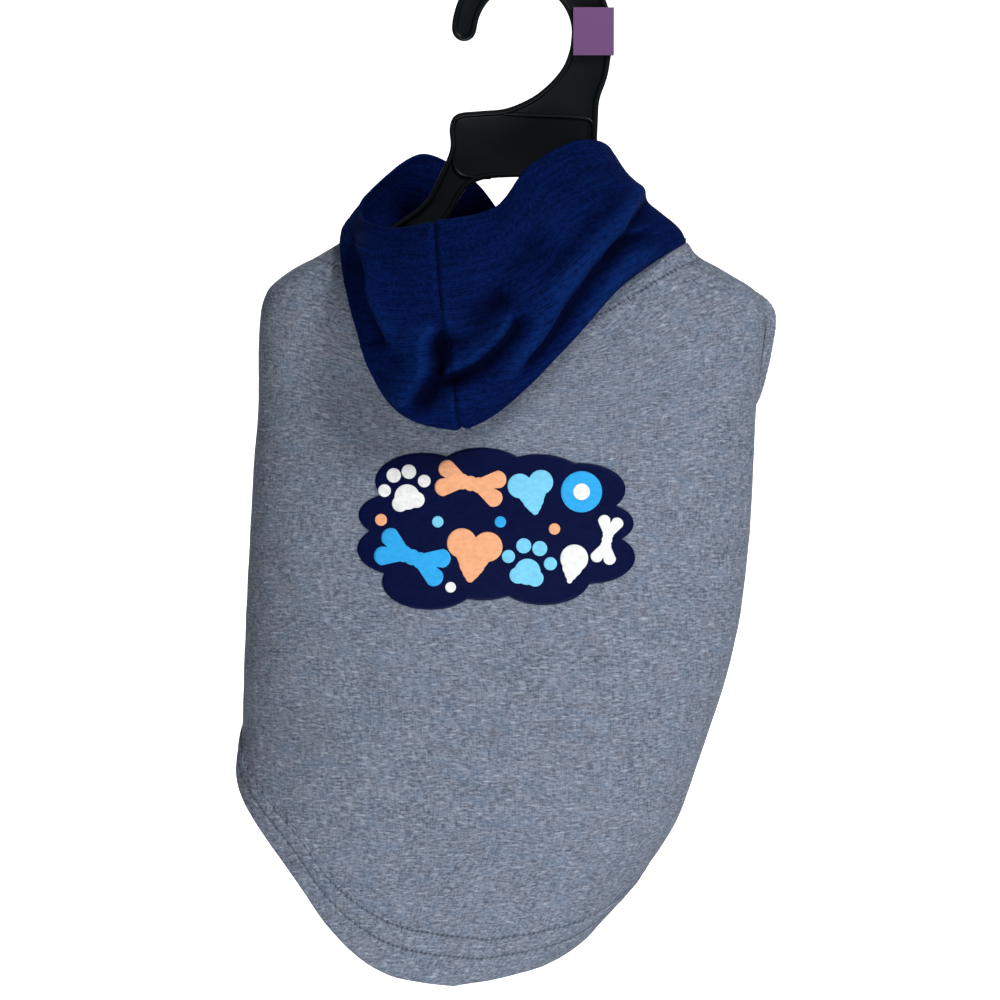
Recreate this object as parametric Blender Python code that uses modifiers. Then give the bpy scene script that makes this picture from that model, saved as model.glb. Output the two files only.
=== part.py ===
"""A small dog's pullover hoodie on its shop hanger.

+Z is up, +X is to the viewer's right and -Y faces the viewer, who sees the garment's back.
The origin is the inside top of the hanger's hook, where it hangs on a rail.
Round the body, the share 0 is the centre of the chest, 0.25 the left flank, 0.5 the centre
back and 0.75 the right flank. Down the body, the level is 0 at the neck seam and 1 at the
lowest point of the back hem.
"""

import math

import bmesh
import bpy
import numpy as np

MM = 0.001

# Sizes of the body, in metres
BACK_LENGTH = 234 * MM
BELLY_LENGTH = 160 * MM
BODY_WIDTH = 182 * MM
BODY_DEPTH = 66 * MM
NECK_WIDTH = 120 * MM
NECK_DEPTH = 54 * MM
NECK_DIP = 31 * MM
THROAT_DIP = 14 * MM
FLEECE_WALL = 1.8 * MM
HEM_WIDTH = 17 * MM
HEM_RISE = 0.6 * MM
SEAM_GAP = 1.0 * MM
TOUCH_GAP = 0.3 * MM

# Sizes of the leg openings and their bands
LEG_HOLE_HEIGHT = 48 * MM
LEG_HOLE_DROP = 41 * MM
BAND_LENGTH = 8 * MM
BAND_WALL = 2.2 * MM

# Sizes of the hood
HOOD_FALL = 104 * MM
HOOD_WALL = 1.5 * MM
HOOD_ROLL = 5 * MM
HOOD_CLEARANCE = 1.2 * MM

# Sizes of the print
PRINT_WIDTH = 98 * MM
PRINT_HEIGHT = 57 * MM
PRINT_DROP = 101 * MM
PRINT_WALL = 0.8 * MM

# Sizes of the hanger
HOOK_BORE = 34 * MM
HOOK_TIP_WIDTH = 9 * MM
STEM_WIDTH = 13.5 * MM
PLATE_WIDTH = 53 * MM
PLATE_TOP_DROP = 45 * MM
NECK_SEAM_DROP = 91 * MM
ARM_WIDTH = 13 * MM
WEB_THICKNESS = 2.4 * MM
RIM_THICKNESS = 5 * MM
RIM_WIDTH = 2 * MM
EDGE_STEP = 2.6 * MM
CLIP_LENGTH = 17 * MM
CLIP_WALL = 1.2 * MM
CLIP_DROP = 8 * MM
CLIP_REACH = 13 * MM

# Colours, linear
GREY = (0.175, 0.205, 0.27, 1)
NAVY = (0.003, 0.011, 0.068, 1)
INK = (0.002, 0.004, 0.03, 1)
BLACK = (0.008, 0.01, 0.011, 1)
PURPLE = (0.16, 0.075, 0.2, 1)

# The body's sections, from the neck down. drop is a share of the body's drop, spread goes from
# the neck's width and depth to the body's, and the other lengths are shares of half of those.
SECTION_COLUMNS = ("drop", "spread", "left", "right", "back", "chest", "dip", "twist_deg", "square")
SECTIONS = np.array([
    (0.000, 0.000, 1.042, 0.958, 1.00, 1.00, 1.00, 0, 2.0),
    (0.021, 0.306, 1.060, 0.905, 0.97, 0.93, 0.93, 0, 2.0),
    (0.045, 0.645, 1.060, 0.922, 0.91, 0.86, 0.84, 0, 2.1),
    (0.070, 0.887, 1.053, 0.955, 0.89, 0.82, 0.74, 0, 2.1),
    (0.102, 0.984, 1.044, 0.956, 0.90, 0.82, 0.62, 0, 2.2),
    (0.147, 1.000, 1.046, 0.940, 0.93, 0.82, 0.45, 0, 2.3),
    (0.215, 1.000, 1.048, 0.918, 1.00, 0.85, 0.22, 0, 2.3),
    (0.298, 1.000, 1.068, 0.907, 1.05, 0.90, 0.05, 0, 2.3),
    (0.392, 1.000, 1.082, 0.893, 1.10, 0.95, 0.00, 0, 2.3),
    (0.494, 1.000, 1.099, 0.863, 1.13, 1.00, 0.00, 3, 2.3),
    (0.581, 1.000, 1.110, 0.810, 1.15, 1.05, 0.00, 6, 2.3),
    (0.656, 1.000, 1.115, 0.745, 1.15, 1.08, 0.00, 9, 2.2),
    (0.724, 1.000, 1.137, 0.683, 1.13, 1.08, 0.00, 13, 2.2),
    (0.789, 1.000, 1.143, 0.613, 1.10, 1.08, 0.00, 16, 2.2),
    (0.864, 1.000, 1.143, 0.466, 1.06, 1.08, 0.00, 19, 2.1),
    (0.925, 1.000, 1.132, 0.312, 1.02, 1.08, 0.00, 22, 2.1),
    (0.975, 1.000, 1.110, 0.180, 1.00, 1.08, 0.00, 24, 2.0),
    (1.000, 1.000, 1.088, 0.050, 0.97, 1.08, 0.00, 25, 2.0),
])
DIP_POWER = 3.2

# The hem's rise from the centre back, 0, to the belly, 1, at shares of the girth from the back
HEM_TURN = (0.0, 0.085, 0.12, 0.15, 0.185, 0.215, 0.25, 0.28, 0.31, 0.36, 0.5)
HEM_CLIMB = (0.0, 0.04, 0.08, 0.14, 0.25, 0.40, 0.57, 0.72, 0.86, 0.965, 1.0)

# Shares of the girth at the side seams, between the back panel and the chest panel
LEFT_SEAM, RIGHT_SEAM = 0.175, 0.80

# The body's dents: centre and size across and down, as shares of the body's half width and
# drop, and the depth as a share of its half depth. A negative depth stands out.
DENT_COLUMNS = ("across", "level", "wide", "high", "depth")
DENTS = np.array([
    (0.83, 0.33, 0.17, 0.10, 0.13),
    (-0.72, 0.17, 0.20, 0.09, 0.09),
    (-0.98, 0.66, 0.20, 0.04, 0.07),
    (-0.45, 0.52, 0.30, 0.03, -0.03),
    (0.35, 0.60, 0.35, 0.04, -0.03),
])

# The hood's rings at twelve shares round the neck. x is a share of half the neck's width, y of
# half its depth, and z of the hood's fall, from the side of the neck seam. roll is the fullness
# of the bottom fold.
HOOD_COLUMNS = ("rim_x", "rim_y", "rim_z", "front_x", "front_y", "front_z",
                "fold_x", "fold_y", "fold_z", "roll", "stand")
HOOD = np.array([
    (0.03, 1.11, 0.000, 0.02, 1.13, -0.050, 0.00, 1.09, -0.095, 0.00, 0.0),
    (-0.30, 1.24, 0.205, -0.42, 1.17, 0.045, -0.52, 1.02, -0.035, 0.00, 0.0),
    (-0.64, 1.08, 0.300, -0.82, 0.88, 0.115, -0.93, 0.64, 0.015, 0.00, 0.0),
    (-0.94, 0.26, 0.155, -1.03, 0.04, 0.085, -1.08, -0.16, 0.010, 0.25, 0.3),
    (-0.96, -0.52, 0.080, -1.00, -1.06, -0.080, -0.98, -1.16, -0.235, 0.80, 0.8),
    (-0.79, -1.11, 0.050, -0.84, -1.72, -0.200, -0.77, -1.50, -0.540, 1.00, 1.0),
    (-0.53, -1.42, 0.070, -0.49, -2.02, -0.225, -0.36, -1.74, -0.625, 1.00, 1.0),
    (-0.18, -1.42, 0.120, -0.07, -2.02, -0.130, 0.06, -1.72, -0.465, 1.00, 1.0),
    (0.03, -1.16, 0.260, 0.32, -1.66, 0.040, 0.50, -1.32, -0.175, 0.90, 0.9),
    (0.32, -0.54, 0.345, 0.62, -0.84, 0.140, 0.88, -0.64, -0.010, 0.50, 0.5),
    (0.52, 0.18, 0.310, 0.70, 0.12, 0.145, 0.86, 0.22, 0.035, 0.10, 0.0),
    (0.37, 0.85, 0.145, 0.53, 0.85, 0.060, 0.58, 0.84, 0.005, 0.00, 0.0),
])

# The hood's folds, seen from the back: three points of each line, its half width and how far it
# stands out (or, negative, sinks). Shares of half the neck's width, of the hood's fall, and of
# half the neck's width again.
FOLD_COLUMNS = ("x1", "z1", "x2", "z2", "x3", "z3", "wide", "out")
FOLDS = np.array([
    (0.93, 0.03, 0.47, -0.19, -0.02, -0.53, 0.085, -0.115),
    (1.22, 0.03, 0.70, -0.18, 0.22, -0.50, 0.10, 0.045),
    (0.80, 0.16, 0.30, -0.15, -0.25, -0.60, 0.12, 0.050),
    (-0.60, -0.47, -0.28, -0.42, 0.02, -0.24, 0.060, -0.085),
    (-0.56, -0.42, -0.30, -0.37, 0.00, -0.19, 0.055, 0.050),
    (-0.56, -0.26, -0.20, -0.14, 0.22, 0.10, 0.10, -0.050),
    (-0.60, -0.30, -0.58, -0.36, -0.61, -0.45, 0.030, -0.090),
    (-0.72, -0.05, -0.70, -0.25, -0.75, -0.50, 0.16, 0.035),
])
LOBE_EDGE = ((-1.01, 0.02), (-0.93, -0.17), (-0.87, -0.28), (-0.80, -0.40))
LOBE_STEP = 0.06
LOBE_BLUR = 0.03

# The print's middle, as a share of the body's half width from the middle, and its outline, which
# is the union of these lobes: centre and radius, as shares of half its width and height
PRINT_ACROSS = -0.11
PRINT_LOBES = np.array([
    (-0.52, 0.58, 0.35),
    (-0.10, 0.66, 0.34),
    (0.30, 0.56, 0.36),
    (0.60, 0.48, 0.33),
    (0.74, 0.06, 0.25),
    (0.68, -0.36, 0.32),
    (0.34, -0.60, 0.34),
    (-0.10, -0.52, 0.36),
    (-0.48, -0.66, 0.34),
    (-0.68, -0.26, 0.32),
    (-0.72, 0.16, 0.27),
    (0.0, 0.0, 0.66),
])

# What follows from the sizes
BODY_DROP = NECK_DIP + BACK_LENGTH
HALF_WIDTH = BODY_WIDTH / 2
HALF_DEPTH = BODY_DEPTH / 2
NECK_HALF_WIDTH = NECK_WIDTH / 2
NECK_HALF_DEPTH = NECK_DEPTH / 2
NECK_Z = -NECK_SEAM_DROP
BELLY_LEVEL = (THROAT_DIP + BELLY_LENGTH) / BODY_DROP
HOOK_RADIUS = HOOK_BORE / 2

# Grid sizes
BACK_SAMPLES = (31, 27)
CHEST_SAMPLES = (20, 20)
HOOD_SAMPLES = (22, 24)
RING_SAMPLES = 720
SEAM_STRIP = 0.003


def column(table, names, name):
    return table[:, names.index(name)]


def smooth_curve(at, xs, ys):
    """Values at the places 'at' of a smooth curve that passes each (x, y) and never overshoots."""
    xs, ys = np.asarray(xs, float), np.asarray(ys, float)
    slope = np.diff(ys) / np.diff(xs)
    tangent = np.zeros(len(xs))
    same_way = slope[:-1] * slope[1:] > 0
    steep = 2 * slope[:-1] * slope[1:] / np.where(same_way, slope[:-1] + slope[1:], 1)
    tangent[1:-1] = np.where(same_way, steep, 0)
    tangent[0], tangent[-1] = slope[0], slope[-1]
    at = np.clip(at, xs[0], xs[-1])
    i = np.clip(np.searchsorted(xs, at, side="right") - 1, 0, len(xs) - 2)
    step = xs[i + 1] - xs[i]
    q = (at - xs[i]) / step
    return ((1 + 2 * q) * (1 - q) ** 2 * ys[i] + q * (1 - q) ** 2 * step * tangent[i]
            + q * q * (3 - 2 * q) * ys[i + 1] - q * q * (1 - q) * step * tangent[i + 1])


def round_curve(at, values):
    """Values at the shares 'at' of a closed smooth curve through evenly spaced values."""
    count = len(values)
    place = np.mod(at, 1.0) * count
    i = np.floor(place).astype(int)
    q = place - i
    before, here, after, later = (values[(i + k) % count] for k in (-1, 0, 1, 2))
    return 0.5 * (2 * here + (after - before) * q
                  + (2 * before - 5 * here + 4 * after - later) * q ** 2
                  + (3 * here - before - 3 * after + later) * q ** 3)


def smooth_step(q):
    q = np.clip(q, 0, 1)
    return q * q * (3 - 2 * q)


def section(level):
    """The body's section at each level: its reaches, depths, dips, twist, squareness and height."""
    drop = column(SECTIONS, SECTION_COLUMNS, "drop")
    read = {name: smooth_curve(level, drop, column(SECTIONS, SECTION_COLUMNS, name))
            for name in SECTION_COLUMNS[1:]}
    half_width = NECK_HALF_WIDTH + (HALF_WIDTH - NECK_HALF_WIDTH) * read["spread"]
    half_depth = NECK_HALF_DEPTH + (HALF_DEPTH - NECK_HALF_DEPTH) * read["spread"]
    left, right = half_width * read["left"], half_width * read["right"]
    return {
        "middle": (right - left) / 2,
        "reach": (right + left) / 2,
        "back": half_depth * read["back"],
        "chest": half_depth * read["chest"],
        "neck_dip": NECK_DIP * read["dip"],
        "throat_dip": THROAT_DIP * read["dip"],
        "twist": np.radians(read["twist_deg"]),
        "square": read["square"],
        "z": NECK_Z - BODY_DROP * np.asarray(level),
    }


def ring_point(cut, angle):
    """A point of a section at an angle: 0 is the right flank and a quarter turn the back."""
    cosine, sine = np.cos(angle), np.sin(angle)
    power = 2 / cut["square"]
    depth = np.where(sine > 0, cut["back"], cut["chest"])
    dip = np.where(sine > 0, cut["neck_dip"], cut["throat_dip"])
    x = cut["middle"] + cut["reach"] * np.sign(cosine) * np.abs(cosine) ** power
    y = -depth * np.sign(sine) * np.abs(sine) ** power
    z = cut["z"] - dip * np.abs(sine) ** DIP_POWER
    return np.stack(np.broadcast_arrays(x, y, z), -1)


def dent_depth(x, level):
    """How far the back panel sinks at each place."""
    depth = np.zeros(np.broadcast(x, level).shape)
    for row in DENTS:
        dent = dict(zip(DENT_COLUMNS, row))
        aside = (x / HALF_WIDTH - dent["across"]) / dent["wide"]
        above = (level - dent["level"]) / dent["high"]
        depth += dent["depth"] * HALF_DEPTH * np.exp(-aside ** 2 - above ** 2)
    return depth


def body_points(shares, levels):
    """The body's outer surface at shares round the girth, one row for each level in levels.

    levels has a row for each line down the grid and a column for each share."""
    rows, columns = levels.shape
    points = np.zeros((rows, columns, 3))
    sweep = np.linspace(0, 1, RING_SAMPLES + 1)
    for r in range(rows):
        for c in range(columns):
            cut = section(levels[r, c])
            start = 1.5 * math.pi - cut["twist"]
            angles = start - 2 * math.pi * sweep
            ring = ring_point(cut, angles)
            flat = np.hypot(np.diff(ring[:, 0]), np.diff(ring[:, 1]))
            along = np.concatenate([[0], np.cumsum(flat)])
            share = shares[c] % 1.0
            points[r, c] = ring_point(cut, np.interp(share * along[-1], along, angles))
    x, y = points[..., 0], points[..., 1]
    points[..., 1] = y + dent_depth(x, levels) * smooth_step(-y / (0.4 * HALF_DEPTH))
    return points


def hem_level(share):
    turn = np.abs(np.mod(share, 1.0) - 0.5)
    return 1 - (1 - BELLY_LEVEL) * smooth_curve(turn, HEM_TURN, HEM_CLIMB)


def panel_levels(shares, rows):
    """Levels down a panel: closer at the shoulder, and three rows in the hem."""
    hem = HEM_WIDTH / BODY_DROP
    upper = (np.arange(rows - 3) / (rows - 4)) ** 1.25
    bottom = hem_level(shares)
    top = 3 * TOUCH_GAP / BODY_DROP
    above = top + upper[:, None] * (bottom - 1.25 * hem - top)[None, :]
    inside = np.stack([bottom - hem, bottom - 0.5 * hem, bottom])
    return np.concatenate([above, inside])


def panel_points(first, last, grid):
    """A panel of the body between two shares of the girth, with its thicker hem."""
    columns, rows = grid
    middle = np.linspace(first + SEAM_STRIP, last - SEAM_STRIP, columns - 2)
    shares = np.concatenate([[first], middle, [last]])
    levels = panel_levels(shares, rows)
    points = body_points(shares, levels)
    edge = (hem_level(shares)[None, :] - levels) * BODY_DROP
    swell = HEM_RISE * smooth_step(1.25 - edge / HEM_WIDTH)
    out = points[..., :2].copy()
    out /= np.linalg.norm(out, axis=-1, keepdims=True)
    points[..., :2] += out * swell[..., None]
    return points


def back_y(x, z):
    """The back panel's y at places x and z, from the sections."""
    level = (NECK_Z - z) / BODY_DROP
    cosine = np.zeros_like(level)
    for _ in range(8):
        cut = section(np.clip(level, 0, 1))
        cosine = np.clip((x - cut["middle"]) / cut["reach"], -1, 1)
        sine = np.sqrt(1 - np.abs(cosine) ** cut["square"])
        level = np.clip((NECK_Z - z - cut["neck_dip"] * sine ** DIP_POWER) / BODY_DROP, 0, 1)
    cut = section(level)
    bulge = (1 - np.abs(cosine) ** cut["square"]) ** (1 / cut["square"])
    return -cut["back"] * bulge + dent_depth(x, level)


def neck_ring(shares):
    levels = np.zeros((1, len(shares)))
    return body_points(shares, levels)[0]


def fold_distance(x, z, fold):
    """The distance to a fold's bent line through its three points, and the share along it."""
    a, b, c = (np.array([fold[f"x{i}"] * NECK_HALF_WIDTH, fold[f"z{i}"] * HOOD_FALL]) for i in (1, 2, 3))
    steps = np.linspace(0, 1, 25)[:, None]
    control = 2 * b - (a + c) / 2
    curve = (1 - steps) ** 2 * a + 2 * steps * (1 - steps) * control + steps ** 2 * c
    far = np.hypot(x[..., None] - curve[:, 0], z[..., None] - curve[:, 1])
    nearest = np.argmin(far, -1)
    return np.min(far, -1), steps[nearest, 0]


def fold_relief(x, z):
    """How far the hood's front stands out at each place, from its folds and its left lobe."""
    z = z - NECK_Z
    relief = np.zeros(x.shape)
    for row in FOLDS:
        fold = dict(zip(FOLD_COLUMNS, row))
        far, along = fold_distance(x, z, fold)
        fade = smooth_step(along / 0.2) * smooth_step((1 - along) / 0.25)
        wide, out = fold["wide"] * NECK_HALF_WIDTH, fold["out"] * NECK_HALF_WIDTH
        relief += out * fade * np.exp(-(far / wide) ** 2)
    edge = np.array(LOBE_EDGE)
    border = smooth_curve(-z / HOOD_FALL, -edge[:, 1], edge[:, 0]) * NECK_HALF_WIDTH
    fade = smooth_step((z / HOOD_FALL - edge[-1, 1]) / 0.08)
    step = smooth_step(0.5 + (x - border) / (2 * LOBE_BLUR * NECK_HALF_WIDTH))
    right_side = smooth_step(0.5 - x / NECK_HALF_WIDTH)
    return relief + LOBE_STEP * NECK_HALF_WIDTH * step * fade * right_side


def hood_points(shares, along):
    """The hood's outer surface: a row for each place along, from the neck seam to the rim."""
    def ring(kind):
        parts = [round_curve(shares, column(HOOD, HOOD_COLUMNS, f"{kind}_{axis}")) for axis in "xyz"]
        x, y, z = parts
        return np.stack([x * NECK_HALF_WIDTH, y * NECK_HALF_DEPTH, NECK_Z + z * HOOD_FALL], -1)

    up = np.array([0.0, 0.0, 1.0])
    neck = neck_ring(shares) + 2 * TOUCH_GAP * up
    rim, front, fold = ring("rim"), ring("front"), ring("fold")
    roll = round_curve(shares, column(HOOD, HOOD_COLUMNS, "roll"))[:, None] * HOOD_ROLL
    stand = round_curve(shares, column(HOOD, HOOD_COLUMNS, "stand"))[:, None] * HOOD_ROLL
    middle = section(0.0)["middle"]
    out = fold - (middle, 0, 0)
    out[:, 2] = 0
    out /= np.linalg.norm(out, axis=1, keepdims=True)
    flat = 1 - roll / HOOD_ROLL
    lines = np.stack([
        neck,
        neck + stand * (0.9 * out + 0.5 * up) + 0.3 * flat * (fold - neck),
        fold + roll * (0.4 * up - 0.8 * out) - 0.2 * flat * (fold - neck),
        fold + roll * (0.4 * up + 0.8 * out) + 0.2 * flat * (front - fold),
        front,
        rim,
    ])
    length = np.linalg.norm(np.diff(lines, axis=0), axis=2) + 1e-4
    places = np.concatenate([np.zeros((1, len(shares))), np.cumsum(np.sqrt(length), 0)])
    places /= places[-1]
    points = np.zeros((len(along), len(shares), 3))
    for c in range(len(shares)):
        for axis in range(3):
            points[:, c, axis] = natural_spline(along, places[:, c], lines[:, c, axis])
    x, y, z = points[..., 0], points[..., 1], points[..., 2]
    front_share = smooth_step((along[:, None] - places[3]) / (places[4] - places[3]))
    facing = smooth_step(-y / NECK_HALF_DEPTH) * front_share
    rim_calm = smooth_step((1 - along[:, None]) / 0.08)
    points[..., 1] = y - fold_relief(x, z) * facing * (0.35 + 0.65 * rim_calm)
    return keep_clear(points, along)


def natural_spline(at, xs, ys):
    """A cubic spline through the points, straight at both ends."""
    step = np.diff(xs)
    count = len(xs)
    matrix = np.eye(count)
    right = np.zeros(count)
    for i in range(1, count - 1):
        matrix[i, i - 1:i + 2] = step[i - 1], 2 * (step[i - 1] + step[i]), step[i]
        right[i] = 6 * ((ys[i + 1] - ys[i]) / step[i] - (ys[i] - ys[i - 1]) / step[i - 1])
    bend = np.linalg.solve(matrix, right)
    i = np.clip(np.searchsorted(xs, at, side="right") - 1, 0, count - 2)
    low, high = at - xs[i], xs[i + 1] - at
    h = step[i]
    return ((bend[i] * high ** 3 + bend[i + 1] * low ** 3) / (6 * h)
            + (ys[i] / h - bend[i] * h / 6) * high + (ys[i + 1] / h - bend[i + 1] * h / 6) * low)


def keep_clear(points, along):
    """Moves the hood's points that would sink into the back panel out in front of it."""
    x, y, z = points[..., 0], points[..., 1], points[..., 2]
    surface = back_y(x, z)
    ridge = section(np.clip((NECK_Z - z) / BODY_DROP, 0, 1))
    inside = (np.abs(x - ridge["middle"]) < ridge["reach"]) & (z < NECK_Z + 0.05 * HOOD_FALL) & (y < 0)
    clear = HOOD_WALL + HOOD_CLEARANCE
    limit = surface - clear * smooth_step(along / 0.1)[:, None]
    points[..., 1] = np.where(inside & (along[:, None] > 0), np.minimum(y, limit), y)
    return points


def print_outline(angles):
    """The distance from the print's centre to its edge at each angle, over its half sizes."""
    reach = np.zeros(len(angles))
    direction = np.stack([np.cos(angles), np.sin(angles)], 1)
    for x, z, radius in PRINT_LOBES:
        along = direction @ np.array([x, z])
        aside = direction @ np.array([-z, x])
        inside = np.abs(aside) < radius
        edge = along + np.sqrt(np.maximum(radius ** 2 - aside ** 2, 0))
        reach = np.where(inside, np.maximum(reach, edge), reach)
    return reach


def make_material(name, colour, roughness, metallic=0.0):
    material = bpy.data.materials.new(name)
    material.use_nodes = True
    shader = material.node_tree.nodes["Principled BSDF"]
    shader.inputs["Base Color"].default_value = colour
    shader.inputs["Roughness"].default_value = roughness
    shader.inputs["Metallic"].default_value = metallic
    return material


def make_collection(name, hidden):
    collection = bpy.data.collections.new(name)
    collection.hide_render = hidden
    bpy.context.scene.collection.children.link(collection)
    return collection


def mesh_object(name, vertices, faces, collection, material=None, smooth=True):
    mesh = bpy.data.meshes.new(name)
    mesh.from_pydata([tuple(v) for v in vertices], [], [tuple(int(i) for i in f) for f in faces])
    mesh.update()
    mesh.polygons.foreach_set("use_smooth", [smooth] * len(mesh.polygons))
    obj = bpy.data.objects.new(name, mesh)
    collection.objects.link(obj)
    if material:
        mesh.materials.append(material)
    return obj


def grid_faces(rows, columns, round_columns=False, flipped=False):
    """The faces of a grid of points, one after the other along its rows."""
    faces = []
    last = columns if round_columns else columns - 1
    for r in range(rows - 1):
        for c in range(last):
            near, far = r * columns + c, r * columns + (c + 1) % columns
            face = (near, near + columns, far + columns, far)
            faces.append(face[::-1] if flipped else face)
    return faces


def solidify(obj, thickness, even=True):
    """Gives a surface a wall on the inside of it."""
    modifier = obj.modifiers.new("Wall", "SOLIDIFY")
    modifier.thickness = thickness
    modifier.offset = -1
    modifier.use_even_offset = even
    modifier.use_rim = True


def cut(obj, cutter):
    modifier = obj.modifiers.new("Cut", "BOOLEAN")
    modifier.operation = "DIFFERENCE"
    modifier.solver = "EXACT"
    modifier.object = cutter


def make_panel(name, first, last, grid, collection, material):
    points = panel_points(first, last, grid)
    rows, columns = points.shape[:2]
    obj = mesh_object(name, points.reshape(-1, 3), grid_faces(rows, columns), collection, material)
    solidify(obj, FLEECE_WALL)
    return obj


# The leg openings: the share of the girth at the centre, half the width as a share of the girth,
# the way that the opening faces, in degrees from +X towards the chest, and the band's flare
HOLES = {
    "right": {"share": 0.798, "half_share": 0.049, "facing_deg": 38, "flare": 0.65},
    "left": {"share": 0.160, "half_share": 0.049, "facing_deg": 118, "flare": 0.10},
}
# The band's reach at the top, the viewer's side, the bottom and the chest side of the opening,
# away from the body, towards the chest and up, as shares of the band's length
BAND_REACH = np.array([
    (1.00, 0.20, 0.15),
    (0.80, 0.60, 0.05),
    (0.05, 1.00, -0.10),
    (0.45, 1.10, 0.00),
])
BAND_STEPS = (-0.35, 0.0, 0.35, 0.7, 1.0)
HOLE_POINTS = 24


def hole_ring(side, inset):
    """The edge of a leg opening on the body's surface, made smaller by the inset."""
    hole = HOLES[side]
    half_height = LEG_HOLE_HEIGHT / 2
    smaller = 1 - inset / half_height
    turn = 2 * math.pi * np.arange(HOLE_POINTS) / HOLE_POINTS
    level = (LEG_HOLE_DROP - half_height * smaller * np.cos(turn)) / BODY_DROP
    toward_back = -1 if side == "right" else 1
    shares = hole["share"] + toward_back * hole["half_share"] * smaller * np.sin(turn)
    return body_points(shares, level[None, :])[0]


def hole_axis(side):
    facing = math.radians(HOLES[side]["facing_deg"])
    return np.array([math.cos(facing), math.sin(facing), 0.0])


def make_hole_cutter(side, collection):
    ring = hole_ring(side, 0.0)
    axis = hole_axis(side)
    reach = 12 * FLEECE_WALL
    vertices = np.concatenate([ring + axis * reach, ring - axis * reach])
    faces = grid_faces(2, HOLE_POINTS, round_columns=True)
    faces += [tuple(range(HOLE_POINTS))[::-1], tuple(range(HOLE_POINTS, 2 * HOLE_POINTS))]
    cutter = mesh_object(f"leg_hole_{side}_cutter", vertices, faces, collection, smooth=False)
    turn_outward(cutter)
    cutter.display_type = "WIRE"
    cutter.hide_render = True
    return cutter


def turn_outward(obj):
    """Turns a closed mesh's faces to the outside."""
    work = bmesh.new()
    work.from_mesh(obj.data)
    bmesh.ops.recalc_face_normals(work, faces=work.faces)
    work.to_mesh(obj.data)
    work.free()


def make_band(side, collection, material):
    root = hole_ring(side, TOUCH_GAP)
    inner = hole_ring(side, TOUCH_GAP + BAND_WALL)
    turn = np.arange(HOLE_POINTS) / HOLE_POINTS
    reach = np.stack([round_curve(turn, BAND_REACH[:, i]) for i in range(3)], 1) * BAND_LENGTH
    reach[:, 0] *= HOLES[side]["flare"] * (1 if side == "right" else -1)
    outside = [root + reach * step if step > 0 else root + hole_axis(side) * BAND_LENGTH * step
               for step in BAND_STEPS]
    inside = [inner + reach * step if step > 0 else inner + hole_axis(side) * BAND_LENGTH * step
              for step in BAND_STEPS[::-1]]
    loops = np.array(outside + inside + outside[:1])
    vertices = loops[:-1].reshape(-1, 3)
    count = len(loops) - 1
    faces = []
    for row in range(count):
        for c in range(HOLE_POINTS):
            near, far = row * HOLE_POINTS, (row + 1) % count * HOLE_POINTS
            after = (c + 1) % HOLE_POINTS
            faces.append((near + c, far + c, far + after, near + after))
    obj = mesh_object(f"leg_band_{side}", vertices, faces, collection, material)
    turn_outward(obj)
    return obj


def make_hood_half(name, first, last, collection, material):
    columns, rows = HOOD_SAMPLES
    points = hood_points(np.linspace(first, last, columns), np.linspace(0, 1, rows))
    faces = grid_faces(rows, columns, flipped=True)
    obj = mesh_object(name, points.reshape(-1, 3), faces, collection, material)
    solidify(obj, HOOD_WALL, even=False)
    return obj


PRINT_SPOKES, PRINT_RINGS = 56, 4


def make_print(collection, material):
    angles = 2 * math.pi * np.arange(PRINT_SPOKES) / PRINT_SPOKES
    edge = print_outline(angles)
    shares = np.linspace(1, 0, PRINT_RINGS + 1)[:-1]
    across = shares[:, None] * edge * np.cos(angles) * PRINT_WIDTH / 2
    up = shares[:, None] * edge * np.sin(angles) * PRINT_HEIGHT / 2
    x = np.append(across.ravel(), 0.0) + PRINT_ACROSS * HALF_WIDTH
    z = np.append(up.ravel(), 0.0) + NECK_Z - PRINT_DROP
    y = back_y(x, z) - 2 * TOUCH_GAP
    faces = grid_faces(PRINT_RINGS, PRINT_SPOKES, round_columns=True)
    centre = len(x) - 1
    start = (PRINT_RINGS - 1) * PRINT_SPOKES
    faces += [(start + c, centre, start + (c + 1) % PRINT_SPOKES) for c in range(PRINT_SPOKES)]
    vertices = np.stack([x, y, z], 1)
    obj = mesh_object("back_print", vertices, faces, collection, material)
    turn_toward_viewer(obj)
    modifier = obj.modifiers.new("Wall", "SOLIDIFY")
    modifier.thickness = PRINT_WALL - 2 * TOUCH_GAP
    modifier.offset = 1
    return obj


def turn_toward_viewer(obj):
    """Turns a sheet's faces to -Y."""
    work = bmesh.new()
    work.from_mesh(obj.data)
    for face in work.faces:
        if face.normal.y > 0:
            face.normal_flip()
    work.to_mesh(obj.data)
    work.free()


# The hanger's edges, from the top down. On the stem's right the first value goes from 0 at the
# plate's edge to 1 at the hook's outside; elsewhere it is a share of half the plate's width. The
# second is a share of the plate's drop below the hook. The arms' lines are for the right, and
# mirrored for the left.
STEM_RIGHT = ((1.00, 0.50), (0.66, 0.72), (0.13, 0.90), (0.00, 1.04), (0.00, 1.34))
STEM_LEFT = ((-1.00, 1.30), (-1.01, 1.13), (-0.92, 1.02), (-0.60, 0.995), (-0.25, 0.975),
             (0.08, 0.895), (0.27, 0.815), (0.41, 0.735), (0.54, 0.63), (0.62, 0.50))
ARM_TOP = ((1.17, 1.53), (1.36, 1.72), (1.77, 1.90))
ARM_UNDER = ((2.70, 2.58), (2.15, 2.37), (1.65, 2.15), (1.17, 1.95), (0.93, 1.76), (0.78, 1.61),
             (0.45, 1.53))
SHOULDER_LEVELS = (0.004, 0.022, 0.042, 0.056)
SHOULDER_CLEARANCE = 7.5 * MM
HOOK_STEPS = 18
EDGE_STEPS = 4


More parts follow.
